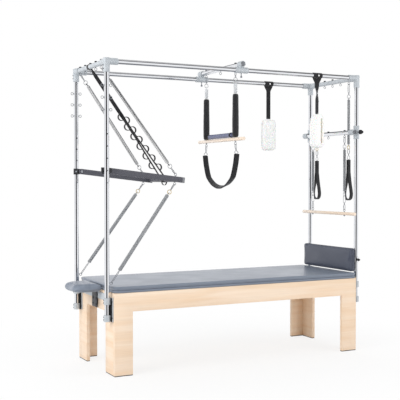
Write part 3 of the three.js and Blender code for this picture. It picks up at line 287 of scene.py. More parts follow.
def fleece_finish(name):
    """Curly pile: soft clumps, with painted shade that darkens the hollows between them."""
    made = Finish(name, "fleece", "FBF9F4", 0.95, Sheen_Weight=0.5, Sheen_Roughness=0.5,
                  Subsurface_Weight=0.1, Subsurface_Scale=0.004)
    curl = made.noise(190, 5, 0.65, distortion=1.2)
    depth = made.maths("ADD", curl, made.maths("MULTIPLY", made.cells(95), 0.6))
    # The pile's hollows, the low places of its bump, are painted darker: painted shade.
    tone = made.ramp(depth, (0.35, "FAF8F3"), (0.85, "FFFFFD"))
    return made.surface(tone, (curl, 0.9, 1.0), (depth, 0.32, 0.002))


MAPLE_X = maple_finish("maple_along_x", "X")
MAPLE_Y = maple_finish("maple_along_y", "Y")
DECK = maple_finish("deck_ply", "X", "E6CBA6", "D6B48A")
DOWEL = maple_finish("maple_dowel", "Y", "FDEEDF", "F8E2CB")
VINYL = vinyl_finish("vinyl_grey", "vinyl", "828B99", "7B8492", 0.36)
VINYL_DARK = vinyl_finish("vinyl_slate", "vinyl_dark", "515665", "4B505F", 0.44)
VINYL_BLUE = vinyl_finish("vinyl_slate_blue", "vinyl_dark", "6B7090", "626785", 0.42)
CHROME = metal_finish("chrome", "chrome", "F1F2F4", "E9EBED", 0.08)
STEEL = metal_finish("zinc_steel", "steel", "C2C5C9", "A9ADB2", 0.26)
SPRING = metal_finish("spring_wire", "chrome", "BCBEC0", "ADAFB2", 0.34, 0.35)
HATCH = metal_finish("open_spring_wire", "chrome", "8E9093", "7C7E81", 0.28, 0.7)
STUB = metal_finish("bright_spring_wire", "chrome", "F6F7F8", "ECEEF0", 0.2, 0.25)
BRASS = metal_finish("brass", "chrome", "EFD27E", "E0BC62", 0.24, 0.85)
DARK_STEEL = metal_finish("blackened_steel", "black_steel", "3A3B3F", "2C2D30", 0.4, 0.6)
CAST = cast_finish("cast_aluminium", "grey_paint", "CBD0D4", "BFC5CA")
BLACK_STEEL = paint_finish("black_powder_coat", "black_steel", "2C2D31", "44454B", 0.42)
BAR_PAINT = paint_finish("grey_powder_coat", "dark_paint", "53535B", "58585F", 0.36)
PLASTIC = plastic_finish("moulded_black", "black_steel", "1B1C1F", "26272B")
RUBBER = plastic_finish("foot_rubber", "knob", "27282B", "333437")
PLUG = plastic_finish("plug_grey", "knob", "85868A", "929397")
CAP = plastic_finish("cap_grey", "knob", "75787D", "83868B")
WHITE = plastic_finish("eyelet_white", "knob", "F1F1EF", "FBFBFA")
TAN = plastic_finish("suede_binding", "fleece", "E6D5B2", "EFE2C6")
WEBBING = webbing_finish("webbing_black", ("1A1A1C", "29292D"))
THREAD = webbing_finish("stitch_thread", ("4A4E58", "5C606B"), 0.0008)
FOAM = foam_finish("sleeve_knit", ("131315", "1D1D21"))
FLEECE = fleece_finish("fleece_white")


# Shapes: each is a pair of points and faces

def placed(made, matrix):
    """A shape under a matrix, its faces kept outward where that mirrors it."""
    points, faces = made
    if matrix.determinant() < 0:
        faces = [tuple(reversed(face)) for face in faces]
    return [matrix @ Vector(p) for p in points], faces


def joined(*shapes):
    points, faces = [], []
    for shape_points, shape_faces in shapes:
        faces += [tuple(len(points) + i for i in face) for face in shape_faces]
        points += shape_points
    return points, faces


def new_object(name, made):
    """An object in the scene from a mesh or a shape."""
    mesh = made
    if isinstance(made, tuple):
        mesh = bpy.data.meshes.new(name)
        mesh.from_pydata([tuple(p) for p in made[0]], [], made[1])
    obj = bpy.data.objects.new(name, mesh)
    scene.collection.objects.link(obj)
    return obj


def piece(name, made, finish, body, node="", sharp=35, slot=""):
    """One shown piece from a shape or a list of them. It rides on a body given by name; given several, it
    stays where it is made.
    """
    obj = new_object(name, joined(*made) if isinstance(made, list) else made)
    obj.data.validate()
    obj.data.materials.append(finish.mat)
    obj.data.polygons.foreach_set("use_smooth", [True] * len(obj.data.polygons))
    obj.data.set_sharp_from_angle(angle=radians(sharp))
    if isinstance(body, str):
        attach(obj, body)
    else:
        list(body)
        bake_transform(obj)
    if node:
        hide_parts(node)
    slot or finish.slot


def moved(x=0.0, y=0.0, z=0.0):
    return Matrix.Translation((x, y, z))


def turn(angle, axis):
    return Matrix.Rotation(radians(angle), 4, axis)


ALONG_X = turn(90, "Y")
ALONG_Y = turn(-90, "X")


def facing(sign):
    """Turns Z to one side along Y."""
    return turn(-90 * sign, "X")


def arc(steps, start=0.0, sweep=2 * pi):
    """Angles from a start through a sweep, both ends in."""
    return [start + sweep * k / steps for k in range(steps + 1)]


def oval(count, side_axis, side, top_axis, top, centre=Vector()):
    """Points once round a centre, on two axes."""
    return [centre + side_axis * (side * cos(a)) + top_axis * (top * sin(a)) for a in arc(count)[:-1]]


def lofted(rings, loop=False):
    """Rings of points joined in order; a ring of one point closes an end."""
    points, faces, layers = [], [], []
    for ring_points in rings:
        layers.append((len(points), len(ring_points)))
        points += ring_points
    after = layers[1:] + (layers[:1] if loop else [])
    for (a, low), (b, high) in zip(layers, after):
        count = max(low, high)
        for k in range(count):
            n = (k + 1) % count
            corners = (a + k % low, a + n % low, b + n % high, b + k % high)
            faces.append(tuple(dict.fromkeys(corners)))
    return points, faces


def turned(profile, sides=32, loop=False):
    """A profile of (radius, height) turned about Z; a radius of 0 closes it."""
    return lofted([[(r * cos(a), r * sin(a), z) for a in arc(sides)[:-1]] if r > 0 else [(0, 0, z)]
                   for r, z in profile], loop)


def rod(radius, length, start=0.0, ease=0.0006, sides=32):
    """A round bar along Z with eased ends."""
    end = start + length
    return turned([(0, start), (radius - ease, start), (radius, start + ease),
                   (radius, end - ease), (radius - ease, end), (0, end)], sides)


def pipe(start, end, ease=0.0006):
    """A frame tube along Z with eased rims."""
    inner = TUBE - TUBE_WALL
    low, high = start + ease, end - ease
    return turned([(inner, low), (inner + ease, start), (TUBE - ease, start), (TUBE, low),
                   (TUBE, high), (TUBE - ease, end), (inner + ease, end), (inner, high)], 40, True)


def frames_along(path, closed=False, side=None):
    """Normal and side at each point; the side is kept where one is given, or carried along."""
    count = len(path)
    found = []
    normal = None
    for i in range(count):
        before = path[(i - 1) % count] if closed else path[max(0, i - 1)]
        after = path[(i + 1) % count] if closed else path[min(count - 1, i + 1)]
        tangent = (after - before).normalized()
        if side is not None:
            across = side[i] if isinstance(side, list) else side
            across = (across - tangent * across.dot(tangent)).normalized()
            normal = across.cross(tangent)
        else:
            normal = normal or tangent.orthogonal()
            normal = (normal - tangent * normal.dot(tangent)).normalized()
            across = tangent.cross(normal)
        found.append((normal, across))
    return found


def swept(path, section, closed=False, side=None):
    """A section of (across, out) offsets carried along a path, capped at open ends."""
    rings = []
    for i, (point, (normal, across)) in enumerate(zip(path, frames_along(path, closed, side))):
        shape = section(i / (len(path) - 1)) if callable(section) else section
        rings.append([point + across * a + normal * b for a, b in shape])
    points, faces = lofted(rings, closed)
    if not closed:
        count = len(rings[0])
        faces += [tuple(reversed(range(count))), tuple(range(len(points) - count, len(points)))]
    return points, faces


def round_section(radius, sides=10):
    return [(radius * cos(a), radius * sin(a)) for a in arc(sides)[:-1]]


def flat_section(width, thickness, ease=None):
    """A flat strap's section with rounded edges."""
    w, t = width / 2, thickness / 2
    e = min(ease or t * 0.8, t * 0.95)
    half = [(w - e, -t), (w, -t + e), (w, t - e), (w - e, t), (w / 2, t), (0, t), (-w / 2, t)]
    return half + [(-x, -y) for x, y in half]


def wire(path, radius, closed=True, sides=10):
    return swept(path, round_section(radius, sides), closed)


def stadium(length, width, base, steps=12):
    """Points of a stretched round loop in the XZ plane, on its middle line, from a base up along Z."""
    half = width / 2
    rise = [Vector((half * cos(a), 0, half * sin(a))) for a in arc(steps, 0, pi)]
    return [p + UP * (base + length - half) for p in rise] + [UP * (base + half) - p for p in rise]


# A link that is longer than wide by less than this is round
ROUND_LINK = 0.001


def link(length, width, radius):
    """A closed wire loop whose outside runs from 0 to its length; a round one leaves out a doubled point."""
    steps = 12
    path = stadium(length - 2 * radius, width - 2 * radius, radius, steps)
    if length - width < ROUND_LINK:
        del path[steps + 1]
    return wire(path, radius)


def ring(major, minor, sides=28, around=10):
    return wire(oval(sides, X_AXIS, major, UP, major), minor, sides=around)


def hexagon(across_flats, height, start=0.0, ease=0.0008):
    return rod(across_flats / 2 / cos(pi / 6), height, start, ease, 6)


def extruded(outline, thickness):
    """A flat plate in the XZ plane, centred on Y."""
    count = len(outline)
    points = [(x, y, z) for y in (-thickness / 2, thickness / 2) for x, z in outline]
    faces = [tuple(range(count)), tuple(reversed(range(count, 2 * count)))]
    faces += [(i, i + count, (i + 1) % count + count, (i + 1) % count) for i in range(count)]
    return points, faces


def softened(made, width, segments=2):
    """The same shape with its edges rounded by a bevel."""
    points, faces = made
    bm = bmesh.new()
    corners = [bm.verts.new(tuple(p)) for p in points]
    for face in faces:
        bm.faces.new([corners[i] for i in face])
    bmesh.ops.remove_doubles(bm, verts=bm.verts, dist=1e-6)
    bmesh.ops.recalc_face_normals(bm, faces=bm.faces)
    edges = [e for e in bm.edges if len(e.link_faces) == 2 and e.calc_face_angle(0) > radians(30)]
    bmesh.ops.bevel(bm, geom=edges, offset=width, segments=segments, profile=0.5, affect="EDGES")
    bm.verts.index_update()
    result = [v.co.copy() for v in bm.verts], [tuple(v.index for v in f.verts) for f in bm.faces]
    bm.free()
    return result


def block(xs, ys, zs, ease=0.001, segments=2):
    """A box between two places on each axis, with eased edges; an ease of 0 leaves them sharp."""
    (x0, x1), (y0, y1), (z0, z1) = sorted(xs), sorted(ys), sorted(zs)
    points = [(x, y, z) for z in (z0, z1) for x, y in ((x0, y0), (x1, y0), (x1, y1), (x0, y1))]
    made = points, [(0, 3, 2, 1), (4, 5, 6, 7), (0, 1, 5, 4), (1, 2, 6, 5), (2, 3, 7, 6), (3, 0, 4, 7)]
    return softened(made, ease, segments) if ease else made


def modify(obj, kind, **settings):
    return put(obj.modifiers.new(kind.lower(), kind), **settings)


def drop(obj):
    mesh = obj.data
    bpy.data.objects.remove(obj, do_unlink=True)
    bpy.data.meshes.remove(mesh)


def evaluated(obj):
    """The mesh of an object with its modifiers, and the object gone."""
    seen = obj.evaluated_get(bpy.context.evaluated_depsgraph_get())
    mesh = bpy.data.meshes.new_from_object(seen)
    drop(obj)
    return mesh


def baked(obj):
    """The shape of an object with its modifiers, and the object gone."""
    bpy.context.view_layer.update()
    mesh = evaluated(obj)
    return [v.co.copy() for v in mesh.vertices], [tuple(p.vertices) for p in mesh.polygons]


def carved(made, cuts, voxel=0.0, relax=0):
    """A shape with others cut out of it. In voxels it is then relaxed, so that castings get their fillets."""
    obj = new_object("carved", made)
    cutters = [new_object("cut", cut) for cut in cuts]
    if voxel:
        modify(obj, "REMESH", mode="VOXEL", voxel_size=voxel)
    for cutter in cutters:
        modify(obj, "BOOLEAN", operation="DIFFERENCE", solver="FAST" if voxel else "EXACT", object=cutter)
    if voxel:
        modify(obj, "REMESH", mode="VOXEL", voxel_size=voxel)
        modify(obj, "SMOOTH", factor=0.5, iterations=relax)
    result = baked(obj)
    for cutter in cutters:
        drop(cutter)
    return result


def eased(share, start, end):
    """0 before start, 1 after end, smooth between them."""
    t = min(1.0, max(0.0, (share - start) / (end - start)))
    return t * t * (3 - 2 * t)


def smooth_path(points, steps):
    """A smooth curve through points, by Catmull-Rom."""
    found = []
    for p0, p1, p2, p3 in zip(points[:1] + points, points, points[1:], points[2:] + points[-1:]):
        for k in range(steps):
            t = k / steps
            found.append(0.5 * ((2 * p1) + (p2 - p0) * t + (2 * p0 - 5 * p1 + 4 * p2 - p3) * t * t
                                + (3 * p1 - p0 - 3 * p2 + p3) * t ** 3))
    return found + points[-1:]


# Wooden bed
BED_LENGTH = 2.04
BED_HALF = 0.37
BED_TOP = 0.571
FOOT_PAD = 0.006
FOOT_EASE = 0.0015
BOARD = 0.025
JOINT = 0.0003
LEG_SIDE = 0.136
LEG_END = 0.174
APRON_SIDE = 0.13
APRON_END = 0.14


def panel(start, end, leg, apron, ease):
    """An apron between two legs, along X."""
    under = BED_TOP - apron
    outline = [(start, FOOT_PAD), (start + leg, FOOT_PAD), (start + leg, under), (end - leg, under),
               (end - leg, FOOT_PAD), (end, FOOT_PAD), (end, BED_TOP), (start, BED_TOP)]
    return softened(extruded(outline, BOARD), ease)


def add_bed():
    side = panel(SHIFT, SHIFT + BED_LENGTH, LEG_SIDE, APRON_SIDE, 0.0016)
    pads = []
    for flank, sign in NEAR_FAR:
        place = moved(y=sign * (BED_HALF - BOARD / 2))
        piece(f"bed_side_{flank}", placed(side, place), MAPLE_X, "table", f"side_panel_{flank}")
    half = BED_HALF - BOARD - JOINT
    board = panel(-half, half, LEG_END - BOARD - JOINT, APRON_END, 0.0012)
    for end, x, inward in (("left", SHIFT, 1), ("right", SHIFT + BED_LENGTH, -1)):
        place = moved(x + inward * BOARD / 2) @ turn(90, "Z")
        piece(f"bed_end_{end}", placed(board, place), MAPLE_Y, "table", f"end_panel_{end}")
        for _, sign in NEAR_FAR:
            for reach, outer, inner in ((LEG_SIDE, FOOT_EASE, BOARD), (BOARD, BOARD + 0.001, LEG_END)):
                xs = x + inward * FOOT_EASE, x + inward * (reach - FOOT_EASE)
                ys = sign * (BED_HALF - outer), sign * (BED_HALF - inner + FOOT_EASE)
                pads.append(block(xs, ys, (0, FOOT_PAD + 0.0002)))
    piece("foot_pads", pads, RUBBER, "table")
    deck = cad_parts["deck_board"].data
    deck.materials.clear()
    deck.materials.append(DECK.mat)


# Upholstery: each ring is how far it is drawn in and its share of the height, from the bottom up
MAT_RINGS = ((0.012, 0.0), (0.004, 0.02), (0.0006, 0.07), (0.0, 0.13), (0.0014, 0.21), (0.0034, 0.29),
             (0.0056, 0.37), (0.0066, 0.42), (0.0060, 0.47), (0.0044, 0.56), (0.0028, 0.65), (0.0012, 0.74),
             (0.0002, 0.82), (0.0006, 0.88), (0.0030, 0.94), (0.0080, 0.985), (0.017, 1.0))
BACK_RINGS = ((0.006, 0.0), (0.002, 0.03), (0.0006, 0.10), (0.0, 0.25), (0.0, 0.50), (0.0004, 0.70),
              (0.0016, 0.84), (0.0040, 0.93), (0.0080, 0.98), (0.016, 1.0))
NOSE_RINGS = ((0.034, 0.0), (0.019, 0.035), (0.010, 0.11), (0.0045, 0.22), (0.0012, 0.36), (0.0, 0.48),
              (0.0008, 0.60), (0.0040, 0.74), (0.0100, 0.87), (0.020, 0.955), (0.036, 1.0))
MAT_CORNERS = (0.014, 0.048, 0.048, 0.014)
MAT_CROWN = 0.0015
WELT_INSET = 0.0060
WELT_SHARE = 0.42
NOSE_CORNERS = (0.014, 0.08, 0.08, 0.014)
BACK_CORNERS = (0.022,) * 4
BRACKET_WALL = 0.006


def pad_outline(length, width, radii, inset, count):
    """Points spread evenly round a rounded rectangle about the origin, drawn in by an inset."""
    corners = []
    for i, (sx, sy) in enumerate(((1, 1), (-1, 1), (-1, -1), (1, -1))):
        r = max(radii[i] - inset, 0.0015)
        middle = Vector((sx * (length / 2 - inset - r), sy * (width / 2 - inset - r), 0))
        corners += [middle + Vector((r * cos(a), r * sin(a), 0)) for a in arc(10, i * pi / 2, pi / 2)]
    loop = corners + corners[:1]
    lengths = [(b - a).length for a, b in zip(loop, loop[1:])]
    total = sum(lengths)
    found, place, i = [], 0.0, 0
    for k in range(count):
        target = total * k / count
        while place + lengths[i] < target:
            place += lengths[i]
            i += 1
        found.append(loop[i].lerp(loop[i + 1], (target - place) / max(lengths[i], 1e-9)))
    return found


def cushion(size, radii, rings, count, wrinkle, seed=0.0):
    """A crowned pad with its bottom at height 0. Its size is length, width, height and crown."""
    length, width, thickness, crown = size
    layers = [[Vector()]]
    for inset, height in rings:
        layer = []
        for p in pad_outline(length, width, radii, inset, count):
            push = noise.noise(Vector((p.x * 9, p.y * 9, seed + height * 3))) * wrinkle
            layer.append(p + UP * (height * thickness) + p.normalized() * push)
        layers.append(layer)
    outer = pad_outline(length, width, radii, rings[-1][0], count)
    for step in range(1, 7):
        keep = 1 - step / 7
        rise = crown * (1 - keep ** 2.4) + thickness
        dents = [noise.noise(p * keep * 3 + UP * seed) * wrinkle * 1.4 for p in outer]
        layers.append([p * keep + UP * (rise + dent) for p, dent in zip(outer, dents)])
    return lofted(layers + [[UP * (thickness + crown)]])


def puffed(made, voxel, cap, held):
    """The pad after a short cloth simulation under pressure: held points stay, none moves past the cap."""
    obj = new_object("pad", made)
    modify(obj, "REMESH", mode="VOXEL", voxel_size=voxel)
    obj = new_object("pad", evaluated(obj))
    rest = [v.co.copy() for v in obj.data.vertices]
    pins = obj.vertex_groups.new(name="held")
    pins.add([i for i, p in enumerate(rest) if held(p)], 1.0, "REPLACE")
    cloth = modify(obj, "CLOTH")
    put(cloth.settings, use_pressure=True, uniform_pressure_force=4.0, quality=4, mass=0.4,
        tension_stiffness=18, compression_stiffness=18, bending_stiffness=2, vertex_group_mass="held")
    cloth.settings.effector_weights.gravity = 0
    cloth.collision_settings.use_collision = False
    last = 20
    put(cloth.point_cache, frame_start=1, frame_end=last)
    for number in range(1, last + 1):
        scene.frame_set(number)
    swollen = evaluated(obj)
    for vertex, old in zip(swollen.vertices, rest):
        step = vertex.co - old
        if step.length > cap:
            vertex.co = old + step.normalized() * cap
    scene.frame_set(1)
    obj = new_object("pad", swollen)
    modify(obj, "SUBSURF", levels=1)
    return baked(obj)


def seam(made, outline, height, radius):
    """A thin piping line laid on a pad's side."""
    skin = BVHTree.FromPolygons([tuple(p) for p in made[0]], made[1])
    return wire([skin.find_nearest(p + UP * height)[0] for p in outline], radius, sides=8)


def held_below(p):
    return p.z < 0.004


def add_upholstery():
    bottom = BED_TOP + JOINT
    place = moved(SHIFT + BED_LENGTH / 2, 0, bottom)
    length, width = BED_LENGTH - 0.003, 2 * BED_HALF - 0.003
    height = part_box("mat")[1].z - bottom - MAT_CROWN
    mat = cushion((length, width, height, MAT_CROWN), MAT_CORNERS, MAT_RINGS, 300, 0.0005)
    piece("mat_cover", placed(mat, place), VINYL, "table", "mat", sharp=60)
    outline = pad_outline(length, width, MAT_CORNERS, WELT_INSET, 300)
    piece("mat_welt", placed(seam(mat, outline, WELT_SHARE * height, 0.0016), place), VINYL_DARK, "table")

    low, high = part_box("tongue_pad")
    shrink = 0.003
    size = high.x - low.x - 0.003 - 2 * shrink, high.y - low.y - 0.004 - 2 * shrink, 0.054 - shrink, 0.0025
    tongue = puffed(cushion(size, NOSE_CORNERS, NOSE_RINGS, 160, 0.0006, 4), 0.005, 0.005, held_below)
    place = moved((low.x + high.x) / 2, 0, low.z)
    piece("tongue_cover", placed(tongue, place), VINYL, "table", "tongue_pad", sharp=60)

    low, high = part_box("tongue_bracket")
    top, back, fillet = high.z - BRACKET_WALL, high.x - BRACKET_WALL, 0.004
    outline = [(high.x, high.z), (low.x, high.z), (low.x, top), (back - fillet, top), (back, top - fillet),
               (back, low.z), (high.x, low.z)]
    parts = [softened(extruded(outline, high.y - low.y), 0.0012)]
    head = hexagon(0.013, 0.004)
    for y in (-0.032, 0.032):
        parts += [placed(head, moved(back, y, low.z + rise) @ turn(-90, "Y")) for rise in (0.022, 0.062)]
        parts.append(placed(head, moved(low.x + 0.05, y, top) @ turn(180, "X")))
    piece("tongue_angle", parts, BLACK_STEEL, "table", "tongue_bracket")

    low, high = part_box("backrest_pad")
    height, width = high.z - low.z, high.y - low.y
    size = height + 0.002 - shrink, width - 0.003 - shrink, 0.037 - shrink, 0.0026
    pad = puffed(cushion(size, BACK_CORNERS, BACK_RINGS, 160, 0.0006, 9), 0.005, 0.004, held_below)
    place = moved(high.x, 0, (low.z + high.z) / 2 - 0.0024) @ turn(-90, "Y")
    piece("backrest_cover", placed(pad, place), VINYL_DARK, "backrest", "backrest_pad", sharp=60)
    outline = pad_outline(height - 0.001, width - 0.002, BACK_CORNERS, 0.0, 200)
    piece("backrest_welt", placed(seam(pad, outline, 0.022, 0.0014), place), VINYL_DARK, "backrest")


# Eyebolts, links and springs; an item of a chain is its kind, length, width or radius, and wire
HOOK = ("hook", 0.058, 0.024, 0)
HOOK_BACK = ("hook_back", 0.058, 0.024, 0)
RING = ("ring", 0.034, 0.034, 0.0018)
LIGHT_COIL = ("close_coil", None, 0.0115, 0.0015)
HOOK_WIRE = 0.0023
HOOK_EYE = 0.012
COIL_STEPS = 14
COIL_TUCK = 0.004
COIL_LAP = 0.0015
LINK_LAP = 0.0055
CLOSE_PITCH = 2.15
OPEN_PITCH = 0.0084


def eyebolt(reach=0.015):
    """An eye at the origin with its shank up to the bar's face, and a washer there."""
    washer = turned([(0, reach - 0.0014), (0.0052, reach - 0.0014), (0.0056, reach - 0.0010),
                     (0.0056, reach + 0.0006), (0, reach + 0.0006)], 20)
    return joined(ring(0.00915, 0.00195), rod(0.0027, reach - 0.0095, 0.0095, 0.0002, 16), washer)


def nut():
    """A nut on its washer with the bolt's end standing out of it."""
    washer = turned([(0, -0.0006), (0.0072, -0.0006), (0.0072, 0.0008), (0, 0.0008)], 20)
    return joined(washer, hexagon(0.0135, 0.0056, 0.0006), rod(0.0032, 0.0074, 0.0, 0.0004, 14))


def bar_eyebolts(name, places, place, body, rise=0.0):
    """Eyes below a bar along Y and black nuts on top of it."""
    wider = Matrix.Diagonal((1.25, 1.25, 1, 1))
    eyes = [placed(eyebolt(), place @ moved(0, y, -TUBE - 0.0135)) for y in places]
    nuts = [placed(nut(), place @ moved(0, y, TUBE - 0.0020 + rise) @ wider) for y in places]
    piece(f"{name}_eyes", eyes, STEEL, body)
    piece(f"{name}_nuts", nuts, PLASTIC, body)


def snap_hook(length, width=0.024):
    """A carabiner with a pinned gate, a turned neck and a swivel eye, from 0 to its length along Z."""
    neck = 0.10 * length
    body = length - HOOK_EYE - neck + 0.003
    low, high = 0.26 * body, 0.74 * body
    gate = turned([(0, low), (0.0031, low + 0.001), (0.0031, high - 0.001), (0, high)], 12)
    collar = turned([(0, body - 0.003), (0.0038, body - 0.003), (0.0046, body + 0.001),
                     (0.0046, body + neck - 0.003), (0.003, body + neck), (0, body + neck)], 16)
    eye = ring(HOOK_EYE / 2 - 0.0012, 0.0016, 20, 8)
    return joined(wire(stadium(body - 2 * HOOK_WIRE, width - 2 * HOOK_WIRE, HOOK_WIRE, 10), HOOK_WIRE),
                  placed(gate, moved(width / 2 - HOOK_WIRE)), collar,
                  placed(eye, moved(z=length - HOOK_EYE / 2 - 0.0004) @ turn(90, "Z")))


def coil(length, radius, thick, pitch):
    """A coil along Z whose first and last curls draw to the axis, with an eye on end at both ends."""
    lead, middle = radius * 0.9, radius - thick
    total = max(2, round((length - 2 * lead) / pitch)) * COIL_STEPS
    path = []
    for i in range(total + 1):
        reach = middle * min(1.0, 0.35 + i / COIL_STEPS * 0.65, 0.35 + (total - i) / COIL_STEPS * 0.65)
        a = 2 * pi * i / COIL_STEPS
        path.append(Vector((reach * cos(a), reach * sin(a), lead + (length - 2 * lead) * i / total)))
    parts = [wire(path, thick, False, 5)]
    eye = radius * 0.62
    for z, up in ((lead, -1), (length - lead, 1)):
        curl = [Vector((eye * cos(a), 0, z + up * (eye * 1.15 + eye * sin(a))))
                for a in arc(14, radians(-60), radians(300))]
        parts.append(wire(curl, thick, False, 6))
    return joined(*parts)


def chain(start, end, items, end_rest=EYE_REST):
    """Lays rings, hooks and a coil from start to end, each next one a quarter turn on.
    The item whose length is None takes what is left."""
    z_axis = (end - start).normalized()
    x_axis = (Y_AXIS - z_axis * z_axis.y).normalized()
    basis = Matrix((x_axis, z_axis.cross(x_axis), z_axis)).transposed().to_4x4()
    basis.translation = start
    laps = [0] + [-COIL_LAP if "coil" in a[0] + b[0] else -LINK_LAP for a, b in zip(items, items[1:])]
    left = (end - start).length - EYE_REST - end_rest - sum(laps) - sum(item[1] or 0 for item in items)
    place, quarter, laid = EYE_REST, 0, []
    for lap, (kind, length, width, thick) in zip(laps, items):
        place += lap
        length = length or left
        spot = basis @ moved(z=place)
        if "coil" in kind:
            pitch = CLOSE_PITCH * thick if kind == "close_coil" else OPEN_PITCH
            spot, made = spot @ moved(z=-COIL_TUCK), coil(length + 2 * COIL_TUCK, width, thick, pitch)
        else:
            made = snap_hook(length, width) if "hook" in kind else link(length, width, thick)
            spot = spot @ turn(90 * quarter, "Z")
            if kind == "hook_back":
                spot = spot @ moved(z=length) @ turn(180, "X")
        laid.append((kind, placed(made, spot)))
        if kind != "close_coil":
            quarter += 1
        place += length
    return laid


def spring(name, start, end, items, body, node="", wire_finish=None, end_rest=EYE_REST):
    """A chain's pieces by finish: its coil, its steel parts and any brass ring."""
    groups = {}
    for kind, made in chain(start, end, items, end_rest):
        group = "coil" if "coil" in kind else "brass" if kind == "brass" else "links"
        groups.setdefault(group, []).append(made)
    finishes = {"coil": wire_finish or SPRING, "brass": BRASS, "links": STEEL}
    body = body if isinstance(body, str) else (*body, start, end)
    for group, parts in groups.items():
        stands_for = node if group == "coil" else ""
        piece(f"{name}_{group}", parts, finishes[group], body, stands_for, sharp=50, slot="chrome")


# Tube frame
RAIL_GAP = 0.024
POST_EYES = (1.825, 1.908, 1.991)
CORNER_WALL = 0.023
CORNER_DROP = 0.076
CORNER_REACH = 0.082
VOXEL = 0.0017


def add_frame():
    height = RAIL_HEIGHT - TUBE - JOINT
    holes = [placed(rod(0.005, 0.06, -0.03, 0.0001, 20), moved(z=PIVOT.z + k * HOLE_STEP) @ ALONG_Y)
             for k in range(-1, 4)]
    for end, x, _ in POSTS:
        tube = pipe(POST_BOTTOM, height)
        if end == "left":
            tube = carved(tube, [joined(*holes)])
        for flank, sign in NEAR_FAR:
            name, place = f"post_{end}_{flank}", moved(x, sign * POST_SIDE)
            piece(f"{name}_tube", placed(tube, place), CHROME, "table", name)
            if end == "left":
                spots = [(z, out) for z in POST_EYES for out in (1, -1)] + [(LOW_EYE, 1)]
                eyes = [placed(eyebolt(), place @ moved(out * EYE_DROP, 0, z) @ turn(-90 * out, "Y"))
                        for z, out in spots]
                piece(f"{name}_eyes", eyes, STEEL, "table")
    rail = pipe(LEFT_POST + RAIL_GAP, RIGHT_POST - RAIL_GAP)
    for flank, sign in NEAR_FAR:
        place = moved(0, sign * POST_SIDE, RAIL_HEIGHT) @ ALONG_X
        piece(f"rail_{flank}_tube", placed(rail, place), CHROME, "table", f"rail_{flank}")
    half = POST_SIDE - RAIL_GAP
    for end, x, _ in POSTS:
        name, place = f"end_bar_{end}", moved(x, 0, RAIL_HEIGHT)
        piece(f"{name}_tube", placed(pipe(-half, half), place @ ALONG_Y), CAST, "table", name)
        bar_eyebolts(name, [i * 0.11 for i in range(-2, 3)], place, "table", 0.0035)


def barrel(radius, start, end):
    return rod(radius, end - start, start, 0.0012, 48)


def socket_screw(radius, height):
    """A screw's head with its socket."""
    return turned([(0, 0), (radius, 0), (radius, height - 0.0006), (radius - 0.0006, height),
                   (radius * 0.55, height), (radius * 0.55, height * 0.45), (0, height * 0.45)], 18)


def outward(spots, place, inward, radius, height):
    """Screws at spots about a place, each with its head towards the table's end."""
    screw = socket_screw(radius, height)
    return [placed(screw, place @ moved(*spot) @ turn(-90 * inward, "Y")) for spot in spots]


def add_corner_fittings():
    """Cast three-way corners with their set screws."""
    sleeve, bore = barrel(CORNER_WALL, 0, CORNER_REACH), rod(BORE, 0.062, 0.024)
    upright = barrel(CORNER_WALL, -CORNER_DROP, CORNER_WALL)
    solid = joined(upright, placed(sleeve, ALONG_X), placed(sleeve, ALONG_Y))
    cuts = [rod(BORE, 0.06, -0.078), placed(bore, ALONG_X), placed(bore, ALONG_Y)]
    casting = carved(solid, cuts, VOXEL, 12)
    for end, x, inward in POSTS:
        for flank, sign in NEAR_FAR:
            name, place = f"corner_fitting_{end}_{flank}", moved(x, sign * POST_SIDE, RAIL_HEIGHT)
            made = placed(casting, place @ Matrix.Diagonal((inward, -sign, 1, 1)))
            piece(f"{name}_casting", made, CAST, "table", name, sharp=180)
            screws = [(-inward * (CORNER_WALL - 0.0012), 0, rise - CORNER_DROP) for rise in (0.024, 0.048)]
            piece(f"{name}_screws", outward(screws, place, inward, 0.0042, 0.0038), DARK_STEEL, "table")


FOOT_LOW, FOOT_HIGH = 0.376, 0.54
COLLAR = 0.046
PLATE_FACE = 0.0267
PLATE = 0.008


